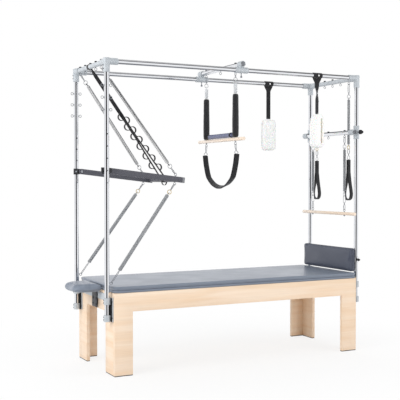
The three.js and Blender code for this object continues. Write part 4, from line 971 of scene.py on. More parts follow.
def add_foot_brackets():
    """Two collars on each post joined to a bed plate, a black block filling the strip between collars and
    plate, and a plate between the posts.
    """
    solid = []
    for low in (FOOT_LOW, FOOT_HIGH - COLLAR):
        bridge = block((0, 0.030), (-0.017, 0.017), (low + 0.002, low + COLLAR - 0.002), 0)
        solid += [barrel(0.024, low, low + COLLAR), bridge]
    casting = carved(joined(*solid), [rod(BORE, 0.20, FOOT_LOW - 0.01)], VOXEL, 3)
    plug = turned([(0, FOOT_LOW + 0.004), (0.0178, FOOT_LOW + 0.004), (0.0178, FOOT_LOW + 0.0075),
                   (0, FOOT_LOW + 0.0075)], 40)
    plate = block((PLATE_FACE, PLATE_FACE + PLATE), (-0.037, 0.037), (FOOT_LOW, FOOT_HIGH), 0.002, 3)
    # A black block fills the dark strip between each collar and its plate.
    black_block = block((0.0186, 0.0268), (-0.0302, 0.0302), (FOOT_LOW + 0.001, FOOT_HIGH - 0.001))
    for end, x, inward in POSTS:
        castings, black_blocks, bolts = [], [], []
        on_plate = [(inward * PLATE_FACE, y, FOOT_LOW + rise)
                    for rise in (0.026, 0.138) for y in (-0.0335, 0.0335)]
        on_post = [(-inward * 0.0227, 0, z)
                   for rise in (0.014, 0.033) for z in (FOOT_LOW + rise, FOOT_HIGH - rise)]
        for _, sign in NEAR_FAR:
            place = moved(x, sign * POST_SIDE)
            facing_in = place @ Matrix.Diagonal((inward, 1, 1, 1))
            castings += [placed(made, facing_in) for made in (casting, plate, plug)]
            black_blocks.append(placed(black_block, facing_in))
            bolts += outward(on_plate, place, inward, 0.0034, 0.003)
            bolts += outward(on_post, place, inward, 0.0042, 0.0032)
        face = x + inward * (PLATE_FACE + PLATE)
        castings.append(block((face, face - inward * 0.004), (-0.284, 0.284), (0.504, 0.553)))
        piece(f"foot_bracket_{end}_casting", castings, CAST, "table", f"foot_bracket_{end}", sharp=60)
        piece(f"foot_bracket_{end}_spacers", black_blocks, PLASTIC, "table")
        piece(f"foot_bracket_{end}_bolts", bolts, DARK_STEEL, "table")


# Push-through bar
ARM = (0.04, 0.02)
ARM_LENGTH = 0.5625
HANDLE = 0.015
HINGE_FACE = 0.3022
HINGE_BLOCK = 0.016
WEB = 0.0030
WEB_WIDTH = 0.022
STRAP_SIDE = 0.02
STRAP_LOOPS = 6


def on_bar(along, y, above):
    """A place on the tilted bar, from its reach past the pivot and its rise above the arms."""
    c, s = cos(BAR_TILT), sin(BAR_TILT)
    return Vector((PIVOT.x + along * c + above * s, y, PIVOT.z - along * s + above * c))


def add_push_through_bar():
    tilt = moved(*PIVOT) @ Matrix.Rotation(BAR_TILT, 4, "Y")
    height, thickness = ARM
    half = height / 2
    outline = [(half * cos(a), half * sin(a)) for a in arc(14, pi / 2, pi)]
    arm = softened(extruded([(ARM_LENGTH, half)] + outline + [(ARM_LENGTH, -half)], thickness), 0.003, 3)
    plug = block((0.5620, 0.5815), (-0.0099, 0.0099), (-0.0199, 0.0199), 0.002)
    handle_half = ARM_SIDE - 0.0095
    handle = rod(HANDLE, 2 * handle_half, -handle_half, 0.0004, 40)
    sides = [tilt @ moved(y=sign * ARM_SIDE) for _, sign in NEAR_FAR]
    arms = [placed(arm, side) for side in sides] + [placed(handle, tilt @ moved(ARM_REACH) @ ALONG_Y)]
    piece("ptb_arms", arms, BAR_PAINT, "push_through_bar", "push_through_bar")
    piece("ptb_plugs", [placed(plug, side) for side in sides], PLUG, "push_through_bar")
    spots = [moved(ARM_EYE_REACH, 0, up * ARM_EYE_RISE) @ turn(90 + up * 90, "X") for up in (1, -1)]
    eyes = [placed(eyebolt(0.0135), side @ spot) for side in sides for spot in spots]
    piece("ptb_eyes", eyes, STEEL, "push_through_bar")
    brass, foot_link = ("brass", 0.034, 0.034, 0.0023), ("ring", 0.096, 0.024, 0.0018)
    for flank, sign in NEAR_FAR:
        add_hinge(flank, sign)
    for flank, sign in NEAR_FAR:
        name = f"ptb_spring_upper_{flank}"
        start = Vector((LEFT_POST, sign * LIGHT_SIDE, RAIL_HEIGHT - EYE_DROP))
        end = on_bar(ARM_EYE_REACH, sign * ARM_SIDE, ARM_EYE_RISE)
        items = [HOOK, RING, ("turned_coil", None, 0.0132, 0.0021), RING, HOOK_BACK]
        spring(name, start, end, items, ("table", "push_through_bar"), name, wire_finish=HATCH)
        name = f"ptb_spring_lower_{flank}"
        start = on_bar(ARM_EYE_REACH, sign * ARM_SIDE, -ARM_EYE_RISE)
        end = Vector((LEFT_POST + EYE_DROP, sign * POST_SIDE, LOW_EYE))
        items = [HOOK, brass, ("close_coil", None, 0.0138, 0.0017), foot_link]
        spring(name, start, end, items, ("push_through_bar", "table"), name)


def add_hinge(flank, sign):
    """A hinge bracket: clamp block against the post, plate and shouldered pivot."""
    face, height, radius = HINGE_FACE, PIVOT.z, 0.02
    clamp = block((LEFT_POST - 0.029, LEFT_POST + 0.004), (-face, HINGE_BLOCK - face),
                  (height - 0.022, height + 0.022), 0.002, 3)
    outline = [(PIVOT.x + radius * cos(a), height + radius * sin(a)) for a in arc(14, -pi / 2, pi)]
    outline += [(LEFT_POST + 0.0025, height + rise) for rise in (radius, -radius)]
    plate = placed(softened(extruded(outline, 0.006), 0.001), moved(y=0.003 - face))
    pin = turned([(0, 0.0015), (0.005, 0.0015), (0.005, 0.0266), (0.0085, 0.0266), (0.009, 0.0272),
                  (0.009, 0.0308), (0.0084, 0.0316), (0.004, 0.0316), (0.004, 0.0295), (0, 0.0295)], 28)
    head = moved(LEFT_POST - 0.014, HINGE_BLOCK - face, height) @ ALONG_Y
    pivot = joined(placed(pin, moved(PIVOT.x, -face, height) @ ALONG_Y), placed(hexagon(0.013, 0.005), head))
    flip = Matrix.Diagonal((1, -sign, 1, 1))
    bracket = placed(joined(clamp, plate), flip)
    piece(f"ptb_hinge_{flank}", bracket, BLACK_STEEL, "table", f"ptb_bracket_{flank}")
    piece(f"ptb_pivot_{flank}", placed(pivot, flip), STEEL, "table")


def add_safety_strap():
    """Webbing choked round the left end bar, its two twisted strands round the handle, with sewn loops."""
    top = Vector((LEFT_POST, STRAP_SIDE, RAIL_HEIGHT))
    bottom = on_bar(ARM_REACH, STRAP_SIDE, 0)
    heading = (bottom - top).normalized()
    normal = Vector((-heading.z, 0, heading.x))
    choke, wrap = TUBE + 0.0014, HANDLE + 0.0014
    gather = top + heading * (choke + 0.010)
    span = (bottom - gather).length
    strand = flat_section(WEB_WIDTH + 0.004, WEB)
    collar = oval(40, X_AXIS, choke, UP, choke, top)
    keeper = oval(24, normal, 0.0068, Y_AXIS, 0.0128, gather + heading * 0.006)
    parts = [swept(collar, flat_section(WEB_WIDTH + 0.004, 0.0024), True, Y_AXIS),
             swept(keeper, flat_section(0.020, 0.0018), True, heading)]

    def spread(share):
        """How far a strand stands off the middle."""
        flare = (wrap - 0.005) * max(0.0, (share - 0.60) / 0.40) ** 1.1
        return 0.003 + 0.002 * eased(share, 0.30, 0.45) + flare

    for sign in (1, -1):
        line, sides = [top + heading * (choke + 0.001) + normal * sign * 0.003], [Y_AXIS]
        for share in arc(60, 0, 1):
            a = pi / 2 * eased(share, 0.0, 0.10) * (1 - eased(share, 0.33, 0.47))
            apart = normal * cos(a) + Y_AXIS * sin(a)
            line.append(gather + heading * (share * span) + apart * sign * spread(share))
            sides.append(Y_AXIS * cos(a) - normal * sin(a))
        if sign == 1:
            round_handle = arc(24, atan2(normal.z, normal.x), -pi)[1:-1]
            line += [bottom + Vector((cos(a), 0, sin(a))) * wrap for a in round_handle]
            sides += [Y_AXIS] * len(round_handle)
        parts.append(swept(line, strand, side=sides))
        half, height = 0.026 * span, 0.027
        for i in range(STRAP_LOOPS):
            share = 0.43 + i / (STRAP_LOOPS - 1) * 0.44 + sign * 0.021
            foot = gather + heading * (share * span) + normal * sign * (spread(share) + WEB * 0.6)
            line = [foot + heading * (-half - 0.014 + 0.004 * k) for k in range(3)]
            line += [foot - heading * half * (0.82 + 0.18 * abs(cos(a))) * cos(a)
                     + normal * sign * height * sin(a) ** 0.8 for a in arc(20, 0, pi)]
            line += [foot + heading * (half + 0.006 + 0.004 * k) for k in range(3)]
            parts.append(swept(line, flat_section(WEB_WIDTH, 0.0048), side=Y_AXIS))
    hang = [bottom + Vector((-0.020 * cos(a), 0, -0.008 - 0.030 * sin(a))) for a in arc(20, 0, pi)]
    parts.append(swept(hang, flat_section(WEB_WIDTH - 0.001, 0.0022), side=Y_AXIS))
    body = ("table", "push_through_bar", gather, bottom)
    piece("safety_strap_web", parts, WEBBING, body, "safety_strap")


# Cross clamps and bars; a knob's levels are shares of its radius and of its thickness
CLAMP = 0.0225
CLAMP_HALF = 0.053
KNOB_LEVELS = ((0.80, 0.0), (0.94, 0.05), (1.0, 0.18), (1.0, 0.80), (0.95, 0.94), (0.82, 1.0), (0.40, 1.0),
               (0.36, 0.93))


def clamp_casting(distance):
    """A sleeve along Z and a holder along Y beside it towards -X, cast as one."""
    aside = moved(-distance) @ ALONG_Y
    lips = [turned([(0, z), (0.0237, z + 0.0006), (0.0237, z + 0.0054), (0, z + 0.006)], 48)
            for z in (-CLAMP_HALF, CLAMP_HALF - 0.006)]
    solid = joined(barrel(CLAMP, -CLAMP_HALF, CLAMP_HALF), placed(barrel(CLAMP, -0.03, 0.03), aside),
                   block((-distance, 0), (-0.013, 0.013), (-0.017, 0.017), 0), *lips)
    return carved(solid, [rod(BORE, 0.11, -0.055), placed(rod(BORE, 0.064, -0.032), aside)], VOXEL, 9)


def cross_bar(name, x, z, side, body):
    """A plain tube across the table with three eyebolts and end caps."""
    half = POST_SIDE + 0.03
    place = moved(x, 0, z)
    piece(f"{name}_tube", placed(pipe(-half, half), place @ ALONG_Y), CHROME, body, name)
    bar_eyebolts(name, (-side, 0, side), place, body)
    cap = turned([(0, -0.006), (0.0150, -0.006), (0.0150, -0.0012), (0.0148, -0.0006), (0, -0.0002)])
    caps = [placed(cap, place @ moved(y=sign * half) @ facing(sign)) for _, sign in NEAR_FAR]
    piece(f"{name}_caps", caps, CAP, body)


def add_carriage():
    cross_bar("carriage_bar", CARRIAGE, CARRIAGE_HEIGHT, TRAPEZE_SIDE, "carriage")
    casting = placed(clamp_casting(CARRIAGE_HEIGHT - RAIL_HEIGHT), turn(90, "Y"))
    screw = turned([(0, -0.0558), (0.0074, -0.0558), (0.008, -0.0552), (0.008, -0.0434), (0.0074, -0.0428),
                    (0.004, -0.0428), (0.004, -0.0228), (0, -0.0228)], 24)
    for flank, sign in NEAR_FAR:
        place = moved(CARRIAGE, sign * POST_SIDE, RAIL_HEIGHT)
        clamp, lock = f"carriage_clamp_{flank}", f"carriage_lock_{flank}"
        piece(f"{clamp}_casting", placed(casting, place), CAST, "carriage", clamp, sharp=180)
        piece(f"{lock}_screw", placed(screw, place), STEEL, lock, lock)


def add_knob(name, sign, height, radius, thickness, stud_radius, stud_length):
    """A three-lobed knob on a stud that clamps a sleeve to its right post."""
    rings = [[UP * stud_length]]
    for scale, share in KNOB_LEVELS:
        reaches = [(a, radius * (1 - 0.12 * (1 - cos(3 * a))) * scale) for a in arc(60)[:-1]]
        rings.append([Vector((r * cos(a), r * sin(a), stud_length + share * thickness)) for a, r in reaches])
    head = lofted(rings + [[UP * (stud_length + KNOB_LEVELS[-1][1] * thickness)]])
    stud = rod(stud_radius, stud_length + 0.002, 0, 0.0004, 18)
    place = moved(RIGHT_POST, sign * (POST_SIDE + 0.0228), height) @ facing(sign)
    piece(f"{name}_head", placed(head, place), PLASTIC, name, name, sharp=40, slot="knob")
    piece(f"{name}_stud", placed(stud, place), STEEL, name)


# Trapeze and sling, whose line is shares of its half width and depth from the top down
NUT_FACE = 0.0135
DOWEL_EYE = 0.033
SLEEVE_TOP = 1.99
SEAT_LENGTH = 0.382
SEAT_END = 0.184
TIE_SIDE = 0.176
SLING_TOP, SLING_DEPTH, SLING_HALF = 1.542, 0.249, 0.25
SLING_SHARES = ((1.02, 0), (0.97, 0.24), (0.895, 0.46), (0.825, 0.62), (0.74, 0.73), (0.47, 0.90),
                (0.20, 0.985), (0, 1))


def dowel(name, length, x, z, body):
    """A wooden bar along Y with rounded ends."""
    half, r = length / 2, DOWEL_RADIUS
    made = turned([(0, -half), (r - 0.0035, -half), (r - 0.0012, -half + 0.0012), (r, -half + 0.0038),
                   (r, half - 0.0038), (r - 0.0012, half - 0.0012), (r - 0.0035, half), (0, half)], 40)
    piece(f"{name}_wood", placed(made, moved(x, 0, z) @ ALONG_Y), DOWEL, body, name)


def gathered(first, last, rows, ring_at):
    """A closed roll between two points; a ring knows its share of the way and the nearer end's distance."""
    length = (last - first).length
    rings = [ring_at(s, min(s, 1 - s) * length) for s in arc(rows, 0, 1)]
    return lofted([[first]] + rings + [[last]])


def fullness(s):
    """The sleeves' fuller lower half."""
    return 0.90 + 0.10 * exp(-((s - 0.3) / 0.35) ** 2)


def sleeve_shape(bottom, radius, seed):
    """A padded sleeve along Z: gathered ends, a fuller lower half, and faint creases."""
    length = SLEEVE_TOP - bottom

    def ring_at(s, end):
        fold = radius * (1 - 0.34 * exp(-(end / 0.006) ** 1.2)) * fullness(s)
        found = []
        for a in arc(40)[:-1]:
            crease = noise.noise(Vector((cos(a) * 2.2, sin(a) * 2.2, s * 16 + seed))) * 0.035
            r = fold * (1 + crease + 0.03 * cos(10 * a) * exp(-end / 0.012))
            found.append(Vector((r * cos(a), r * sin(a), bottom + s * length)))
        return found

    return gathered(UP * bottom, UP * SLEEVE_TOP, 90, ring_at)


def roll_shape(length, half_x, half_z):
    """A padded roll along Y with gathered ends."""
    def ring_at(s, end):
        fold = 1 - 0.42 * exp(-(end / 0.009) ** 1.3)
        found = []
        for a in arc(40)[:-1]:
            crease = 1 + 0.02 * noise.noise(Vector((cos(a) * 2, sin(a) * 2, s * 9)))
            r = 0.985 * (fold * crease + 0.02 * cos(12 * a) * exp(-end / 0.012))
            found.append(Vector((half_x * r * cos(a), -length / 2 + s * length, half_z * r * sin(a))))
        return found

    end = Y_AXIS * (length / 2)
    points, faces = gathered(-end, end, 60, ring_at)
    return points, [tuple(reversed(face)) for face in faces]


def held_at_ties(p):
    """True at the roll's ends and under its ties."""
    return abs(p.y) > SEAT_END or abs(abs(p.y) - TIE_SIDE) < 0.005


def stitches(path, pitch, radius):
    """Short threads laid along a line, each dipping at its ends."""
    lengths = [0.0]
    for a, b in zip(path, path[1:]):
        lengths.append(lengths[-1] + (b - a).length)

    def at(distance):
        for a, b, start, end in zip(path, path[1:], lengths, lengths[1:]):
            if end >= distance:
                return a.lerp(b, (distance - start) / max(end - start, 1e-9))
        return path[-1]

    thin, full = round_section(radius * 0.45, 6), round_section(radius, 6)
    starts = [i * pitch for i in range(int(lengths[-1] / pitch))]
    threads = [[at(start + pitch * share) for share in (0.08, 0.36, 0.64, 0.9)] for start in starts]
    return joined(*(swept(line, lambda s: thin if s in (0.0, 1.0) else full) for line in threads))


def add_trapeze():
    dowel_top = DOWEL_HEIGHT + 0.0143
    for i, (flank, sign) in enumerate(NEAR_FAR):
        place = moved(CARRIAGE, sign * TRAPEZE_SIDE)
        name = f"trapeze_sleeve_{flank}"
        cover = sleeve_shape(dowel_top, 0.0246, 5.0 * i)
        piece(f"{name}_cover", placed(cover, place), FOAM, "trapeze", name, sharp=60)
        side = place @ turn(200 + 40 * i, "Z")
        line = [side @ Vector((0.0243 * fullness(s), 0, dowel_top + 0.008 + s * 0.31)) for s in arc(40, 0, 1)]
        piece(f"{name}_stitches", stitches(line, 0.006, 0.0005), THREAD, "trapeze")
        start, end = place @ (UP * (CARRIAGE_HEIGHT - EYE_DROP)), place @ (UP * (SLEEVE_TOP - 0.003))
        items = [HOOK, RING, ("close_coil", None, 0.0145, 0.0017)]
        spring(f"trapeze_spring_{flank}", start, end, items, "trapeze", wire_finish=STUB,
               end_rest=-COIL_LAP)
    shrink = 0.0008
    roll = roll_shape(SEAT_LENGTH - 2 * shrink, 0.023 - shrink, 0.019 - shrink)
    place = moved(CARRIAGE, 0, dowel_top + 0.019)
    roll = placed(puffed(roll, 0.004, 0.004, held_at_ties), place)
    piece("trapeze_seat_cover", roll, VINYL_BLUE, "trapeze", "trapeze_seat_roll", sharp=60)
    ties = [oval(40, X_AXIS, 0.0226 + grow, UP, 0.0186 + grow, place @ Vector((0, y, 0)))
            for y, grow in ((-TIE_SIDE, 0.0), (TIE_SIDE, -0.0012))]
    parts = [swept(tie, flat_section(0.015, 0.0018), True, Y_AXIS) for tie in ties]
    piece("trapeze_ties", parts, WEBBING, "trapeze")
    dowel("trapeze_dowel", 0.73, CARRIAGE, DOWEL_HEIGHT, "trapeze")
    bolts = []
    for _, sign in NEAR_FAR:
        spot = moved(CARRIAGE, sign * TRAPEZE_SIDE, DOWEL_HEIGHT)
        bolts += [placed(nut(), spot @ moved(z=-NUT_FACE) @ turn(180, "X")),
                  placed(eyebolt(), spot @ moved(z=-DOWEL_EYE))]
    piece("trapeze_dowel_bolts", bolts, STEEL, "trapeze")


def add_sling():
    right = [Vector((0, u * SLING_HALF, SLING_TOP - v * SLING_DEPTH)) for u, v in SLING_SHARES]
    path = smooth_path([Vector((0, -p.y, p.z)) for p in right[:-1]] + right[::-1], 8)

    def section(share):
        full = sin(pi * share) ** 0.35 if 0 < share < 1 else 0
        sewn = min(abs(share - 0.30), abs(share - 0.70)) < 0.004
        thick = 0.0045 if sewn else 0.0035 + 0.0065 * full
        return flat_section(0.045 + 0.003 * full, thick, thick * 0.48)

    sides, shares = [], arc(len(path) - 1, 0, 1)
    for s, before, after in zip(shares, path[:1] + path, path[1:] + path[-1:]):
        lean = radians(26) * eased(s, 0.24, 0.46) * (1 - eased(s, 0.54, 0.76))
        sides.append(X_AXIS * cos(lean) - (after - before).normalized().cross(X_AXIS) * sin(lean))
    place = moved(CARRIAGE)
    band = placed(swept(path, section, side=sides), place)
    piece("sling_band", band, WEBBING, "sling", "sling", sharp=60)
    threads = []
    for x in (-0.0195, 0.0195):
        for out in (0.0049, -0.0049):
            line = [place @ (p + side * x + normal * out)
                    for s, p, side, (normal, _) in zip(shares, path, sides, frames_along(path, side=sides))
                    if 0.06 < s < 0.94]
            threads.append(stitches(line, 0.007, 0.00045))
    piece("sling_stitches", threads, THREAD, "sling")
    metal = []
    for _, sign in NEAR_FAR:
        start = Vector((CARRIAGE, sign * TRAPEZE_SIDE, DOWEL_HEIGHT - DOWEL_EYE))
        end = Vector((CARRIAGE, sign * SLING_HALF, SLING_TOP))
        items = [("hook", 0.056, 0.024, 0), ("ring", None, 0.034, 0.0021)]
        metal += [made for _, made in chain(start, end, items, -COIL_LAP)]
    piece("sling_hooks", metal, STEEL, "sling")


# Right end; a hand loop's line is shares of its half width and length from the top down
LOOP_TOP, LOOP_LENGTH, LOOP_HALF = 1.515, 0.33, 0.042
LOOP_SHARES = ((0.14, 0.010), (0.14, 0.26), (0.20, 0.36), (0.48, 0.58), (0.81, 0.765), (0.90, 0.865),
               (0.70, 0.95), (0.26, 0.986))
CUFF_HOOK = 1.8605
CUFF_STRAP = 0.080
CUFF_WIDTH, CUFF_HEIGHT, CUFF_TOP = 0.127, 0.268, 1.8597
CUFF_SLOT, CUFF_SLOT_HEIGHT = 0.0045, 0.190
CUFF_SOFT = 0.030
ROLL_EYE = 0.0275
SWIVEL_TOP = 1.5998
SWIVEL_EYE = 1.5927


def add_right_bar():
    cross_bar("right_bar", RIGHT_BAR, RIGHT_BAR_HEIGHT, LIGHT_SIDE, "right_crossbar")
    casting = clamp_casting(RIGHT_POST - RIGHT_BAR)
    for flank, sign in NEAR_FAR:
        clamp = f"right_clamp_{flank}"
        place = moved(RIGHT_POST, sign * POST_SIDE, RIGHT_BAR_HEIGHT)
        piece(f"{clamp}_casting", placed(casting, place), CAST, "right_crossbar", clamp, sharp=180)
        add_knob(f"right_knob_{flank}", sign, RIGHT_BAR_HEIGHT, 0.019, 0.024, 0.005, 0.022)
    bolts = []
    items = [("hook", 0.066, 0.024, 0), RING, LIGHT_COIL, RING, ("ring", 0.06, 0.024, 0.0018),
             ("hook_back", 0.06, 0.024, 0)]
    for flank, sign in NEAR_FAR:
        name, spot = f"roll_spring_{flank}", Vector((RIGHT_BAR, sign * LIGHT_SIDE, ROLL_HEIGHT))
        start = Vector((RIGHT_BAR, sign * LIGHT_SIDE, RIGHT_BAR_HEIGHT - EYE_DROP))
        spring(name, start, spot + UP * ROLL_EYE, items, ("roll_springs", "roll_bar"), name)
        bolts += [placed(made, moved(*spot) @ moved(z=rise) @ turn(180, "X"))
                  for made, rise in ((eyebolt(), ROLL_EYE), (nut(), -NUT_FACE))]
    dowel("roll_dowel", 0.722, RIGHT_BAR, ROLL_HEIGHT, "roll_bar")
    piece("roll_dowel_bolts", bolts, STEEL, "roll_bar")


def add_hand_loops():
    """Padded loops, strands together at the top, each on its swivel hook and spring."""
    right = [Vector((0, u * LOOP_HALF, LOOP_TOP - v * LOOP_LENGTH)) for u, v in LOOP_SHARES]
    foot = UP * (LOOP_TOP - 0.99 * LOOP_LENGTH)
    path = smooth_path(right + [foot] + [Vector((0, -p.y, p.z)) for p in reversed(right)], 7)
    leans = [radians(46) * eased(s, 0.12, 0.24) * (1 - eased(s, 0.34, 0.47))
             for s in arc(len(path) - 1, 0, 1)]

    def section(share):
        pad = min(1.0, max(0.0, (min(share, 1 - share) - 0.10) / 0.08))
        return flat_section(0.032 + 0.002 * pad, 0.0045 + 0.0045 * pad, 0.0019 + 0.0022 * pad)

    band = swept(path, section, side=[Vector((cos(a), sin(a), 0)) for a in leans])
    around = oval(32, X_AXIS, 0.0150, Y_AXIS, 0.0090, UP * (LOOP_TOP - 0.052))
    keeper = swept(around, flat_section(0.022, 0.0018), True, UP)
    swivel = joined(placed(link(0.034, 0.034, 0.0019), moved(z=LOOP_TOP - 0.0045) @ turn(90, "Z")),
                    placed(snap_hook(0.058), moved(z=SWIVEL_TOP) @ turn(180, "X")))
    for flank, sign in NEAR_FAR:
        name, hung = f"hand_loop_{flank}", f"hand_spring_{flank}"
        place = moved(RIGHT_POST, sign * LIGHT_SIDE)
        piece(f"{name}_band", placed(band, place), FOAM, name, name, sharp=60)
        piece(f"{name}_keeper", placed(keeper, place), WEBBING, name)
        piece(f"{name}_swivel", placed(swivel, place), STEEL, name)
        start, end = place @ (UP * (RAIL_HEIGHT - EYE_DROP)), place @ (UP * SWIVEL_EYE)
        items = [("hook", 0.092, 0.024, 0), RING, LIGHT_COIL, ("brass", 0.036, 0.036, 0.0023)]
        spring(hung, start, end, items, (hung, name), hung, end_rest=0)


def add_cuffs():
    """Straps choked round the rails, each with its fleece cuff; the near one hangs turned a quarter round."""
    choke = TUBE + 0.0020
    collar = swept(oval(40, Y_AXIS, choke, UP, choke), flat_section(CUFF_STRAP, 0.0030), True, X_AXIS)
    rivet = turned([(0, 0), (0.0066, 0), (0.0072, 0.0006), (0.0066, 0.0013), (0, 0.0010)], 24)
    rivets = [placed(rivet, moved(0.004, sign * (choke + 0.0012), -0.002) @ facing(sign))
              for _, sign in NEAR_FAR]
    top, drop_length = -choke - 0.0002, RAIL_HEIGHT - CUFF_HOOK - choke
    for index, (flank, sign, x, twist) in enumerate((("near", -1, 1.695, pi / 2), ("far", 1, 1.65, 0.0))):
        name, place = f"cuff_strap_{flank}", moved(SHIFT + x, sign * POST_SIDE, RAIL_HEIGHT)
        shares = arc(40, 0, 1)
        turns = [twist * eased(s, 0.16, 0.62) for s in shares]
        strap = swept([UP * (top - s * drop_length) for s in shares],
                      lambda s: flat_section(CUFF_STRAP * (1 - 0.5 * eased(s, 0.0, 0.17)), 0.0045),
                      side=[Vector((cos(t), sin(t), 0)) for t in turns])
        piece(f"{name}_web", [placed(made, place) for made in (collar, strap)], WEBBING, name, name)
        piece(f"{name}_eyelets", [placed(made, place) for made in rivets], WHITE, name)
        heading = turn(0 if twist else -90, "Z")
        place = moved(SHIFT + x, sign * POST_SIDE, CUFF_TOP - CUFF_HEIGHT / 2) @ heading
        add_fleece(flank, place, 0.078 if twist else 0.066, bool(twist), index)


def loop_line(half, full, count):
    """Points round a stretched loop: across, up, then the outward direction."""
    straight, curve = full - 2 * half, pi * half
    found = []
    for k in range(count):
        d = 2 * (straight + curve) * k / count
        side = 1.0 if d < straight + curve else -1.0
        if side < 0:
            d -= straight + curve
        a = max(0.0, d - straight) / half
        up = min(d, straight) - straight / 2 + half * sin(a)
        found.append((side * half * cos(a), side * up, side * cos(a), side * sin(a)))
    return found


def add_fleece(flank, matrix, depth, tapered, index):
    """A flattened fleece cuff hanging by its fold, closed below, with a slot through it."""
    rows, count = 34, 108

    def layer(half, full, outside, curl):
        rings = []
        for s in arc(rows, 0, 1):
            along = (s - 0.5) * CUFF_WIDTH
            near_edge = max(0.0, 1 - min(s, 1 - s) * CUFF_WIDTH / CUFF_SOFT) if outside else 0.0
            draw = CUFF_SOFT * 0.72 * (1 - sqrt(max(0.0, 1 - near_edge ** 2)))
            points = []
            for u, v, out_u, out_v in loop_line(half - draw, full - 2 * draw, count):
                if outside and tapered:
                    u *= 1 - 0.42 * eased(v, 0.02, CUFF_HEIGHT / 2)
                place = Vector((u * 60 + index * 7, v * 60, along * 60))
                fluff = noise.fractal(place, 0.8, 2.1, 3) * curl
                points.append(Vector((u + out_u * fluff, along, v + out_v * fluff)))
            rings.append(points)
        return rings

    outer = layer(depth / 2 - 0.003, CUFF_HEIGHT - 0.007, True, 0.0026)
    inner = layer(CUFF_SLOT, CUFF_SLOT_HEIGHT, False, 0.0012)
    name = f"fleece_cuff_{flank}"
    if tapered:
        rim = loop_line(CUFF_SLOT + 0.0008, CUFF_SLOT_HEIGHT, count)[::2]
        edges = [[Vector((u, end * (CUFF_WIDTH / 2 - 0.0004), v)) for u, v, _, _ in rim] for end in (-1, 1)]
        piece(f"{name}_binding", [placed(wire(edge, 0.0012, sides=6), matrix) for edge in edges], TAN, name)
    pile = lofted(outer + inner[::-1], True)
    piece(f"{name}_pile", placed(pile, matrix), FLEECE, name, name, sharp=180)


def add_backrest_frame():
    face, middle = RIGHT_POST - CLAMP, BACKREST_MIDDLE
    plate = block((face, face + 0.004), (-POST_SIDE, POST_SIDE), (middle - 0.075, middle + 0.075), 0.0012)
    sleeve = carved(barrel(CLAMP, -0.022, 0.022), [rod(BORE, 0.05, -0.025)], 0.0015, 3)
    head = hexagon(0.012, 0.004)
    bolts = [placed(head, moved(face + 0.004, sign * 0.2, middle + z) @ turn(90, "Y"))
             for _, sign in NEAR_FAR for z in (-0.045, 0.045)]
    sleeves = [placed(sleeve, moved(RIGHT_POST, sign * POST_SIDE, middle)) for _, sign in NEAR_FAR]
    piece("backrest_plate", [plate] + bolts, BLACK_STEEL, "backrest", "backrest_frame", sharp=50)
    piece("backrest_sleeves", sleeves, CHROME, "backrest", sharp=50)
    for flank, sign in NEAR_FAR:
        add_knob(f"backrest_knob_{flank}", sign, middle, 0.0112, 0.014, 0.004, 0.007)


# Stage: where the sky's front is, then its greys round the horizon and from the bottom to the top
FRONT = atan2(-0.8905, -0.4551)
STRIPS = ((0.225, 1.0), (0.24, 0.45), (0.26, 0.45), (0.275, 1.0), (0.405, 1.0), (0.435, 0.04), (0.565, 0.04),
          (0.595, 1.0), (0.725, 1.0), (0.74, 0.45), (0.76, 0.45), (0.775, 1.0))
LEVELS = ((0.05, 0.25), (0.14, 0.40), (0.20, 0.92), (0.45, 1.0), (0.70, 1.0), (0.75, 0.12), (0.87, 0.10),
          (0.93, 0.6))


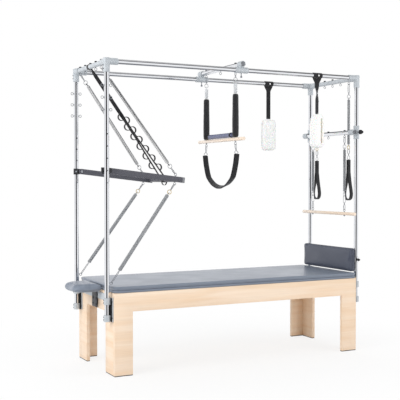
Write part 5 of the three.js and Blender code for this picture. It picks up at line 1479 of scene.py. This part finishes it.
def add_world():
    """White background; a soft sky for matt surfaces; white with a few dark strips for polished ones."""
    world = bpy.data.worlds.new("studio")
    scene.world = world
    world.use_nodes = True
    world.node_tree.nodes.clear()
    graph = Graph(world.node_tree)

    def background(colour, strength=1.0):
        return graph.node("Background", {"Color": colour, "Strength": strength}).outputs["Background"]

    generated = graph.node("TexCoord").outputs["Generated"]
    parts = graph.node("SeparateXYZ", {"Vector": generated}).outputs
    angle = graph.maths("SUBTRACT", graph.maths("ARCTAN2", parts["Y"], parts["X"]), FRONT)
    around = graph.maths("FRACT", graph.maths("ADD", graph.maths("DIVIDE", angle, 2 * pi), 1.5))
    height = graph.maths("ADD", graph.maths("MULTIPLY", parts["Z"], 0.5), 0.5)
    studio = graph.multiply(graph.ramp(around, *STRIPS, blue=1.01), graph.ramp(height, *LEVELS, blue=1.01))
    rays = graph.node("LightPath").outputs
    unseen = graph.mixed(rays["Is Glossy Ray"], background((0.97, 0.985, 1.0, 1), SKY), background(studio))
    direct = graph.maths("MAXIMUM", rays["Is Camera Ray"], rays["Is Transmission Ray"])
    graph.node("OutputWorld", {"Surface": graph.mixed(direct, unseen, background((1, 1, 1, 1)))})


def add_floor():
    """A white floor that keeps the shadow and fades into the background; polished metal sees past it."""
    bpy.ops.mesh.primitive_circle_add(vertices=96, radius=40, fill_type="NGON", location=(0, 0, -0.0005))
    floor = put(bpy.context.object, name="floor")
    made = Finish("floor_white", "", "F6F6F6", 0.9)
    length = made.node("VectorMath", {0: made.coords}, operation="LENGTH").outputs["Value"]
    span = {"Value": length, "From Min": 0.9, "From Max": 2.4, "To Min": 0.80, "To Max": 1.0}
    fade = made.node("MapRange", span, interpolation_type="SMOOTHSTEP").outputs["Result"]
    rays = made.node("LightPath").outputs
    glow = made.node("Emission").outputs["Emission"]
    clear = made.node("BsdfTransparent").outputs["BSDF"]
    lit = made.mixed(made.maths("MULTIPLY", fade, rays["Is Camera Ray"]), made.bsdf.outputs["BSDF"], glow)
    seen = made.mixed(rays["Is Glossy Ray"], lit, clear)
    made.feed(made.tree.nodes["Material Output"].inputs["Surface"], seen)
    floor.data.materials.append(made.mat)


def add_lamps():
    """Square soft lamps that polished metal doesn't show."""
    for name, place, size, power in LAMPS:
        data = bpy.data.lights.new(name, "AREA")
        put(data, shape="RECTANGLE", size=size, size_y=size, energy=power)
        lamp = bpy.data.objects.new(name, data)
        heading = (LAMP_TARGET - Vector(place)).to_track_quat("-Z", "Y").to_euler()
        put(lamp, location=place, rotation_euler=heading, visible_glossy=False)
        scene.collection.objects.link(lamp)


add_bed()
add_upholstery()
add_frame()
add_corner_fittings()
add_foot_brackets()
add_push_through_bar()
add_safety_strap()
add_carriage()
add_trapeze()
add_sling()
add_right_bar()
add_hand_loops()
add_cuffs()
add_backrest_frame()
add_world()
add_floor()
add_lamps()
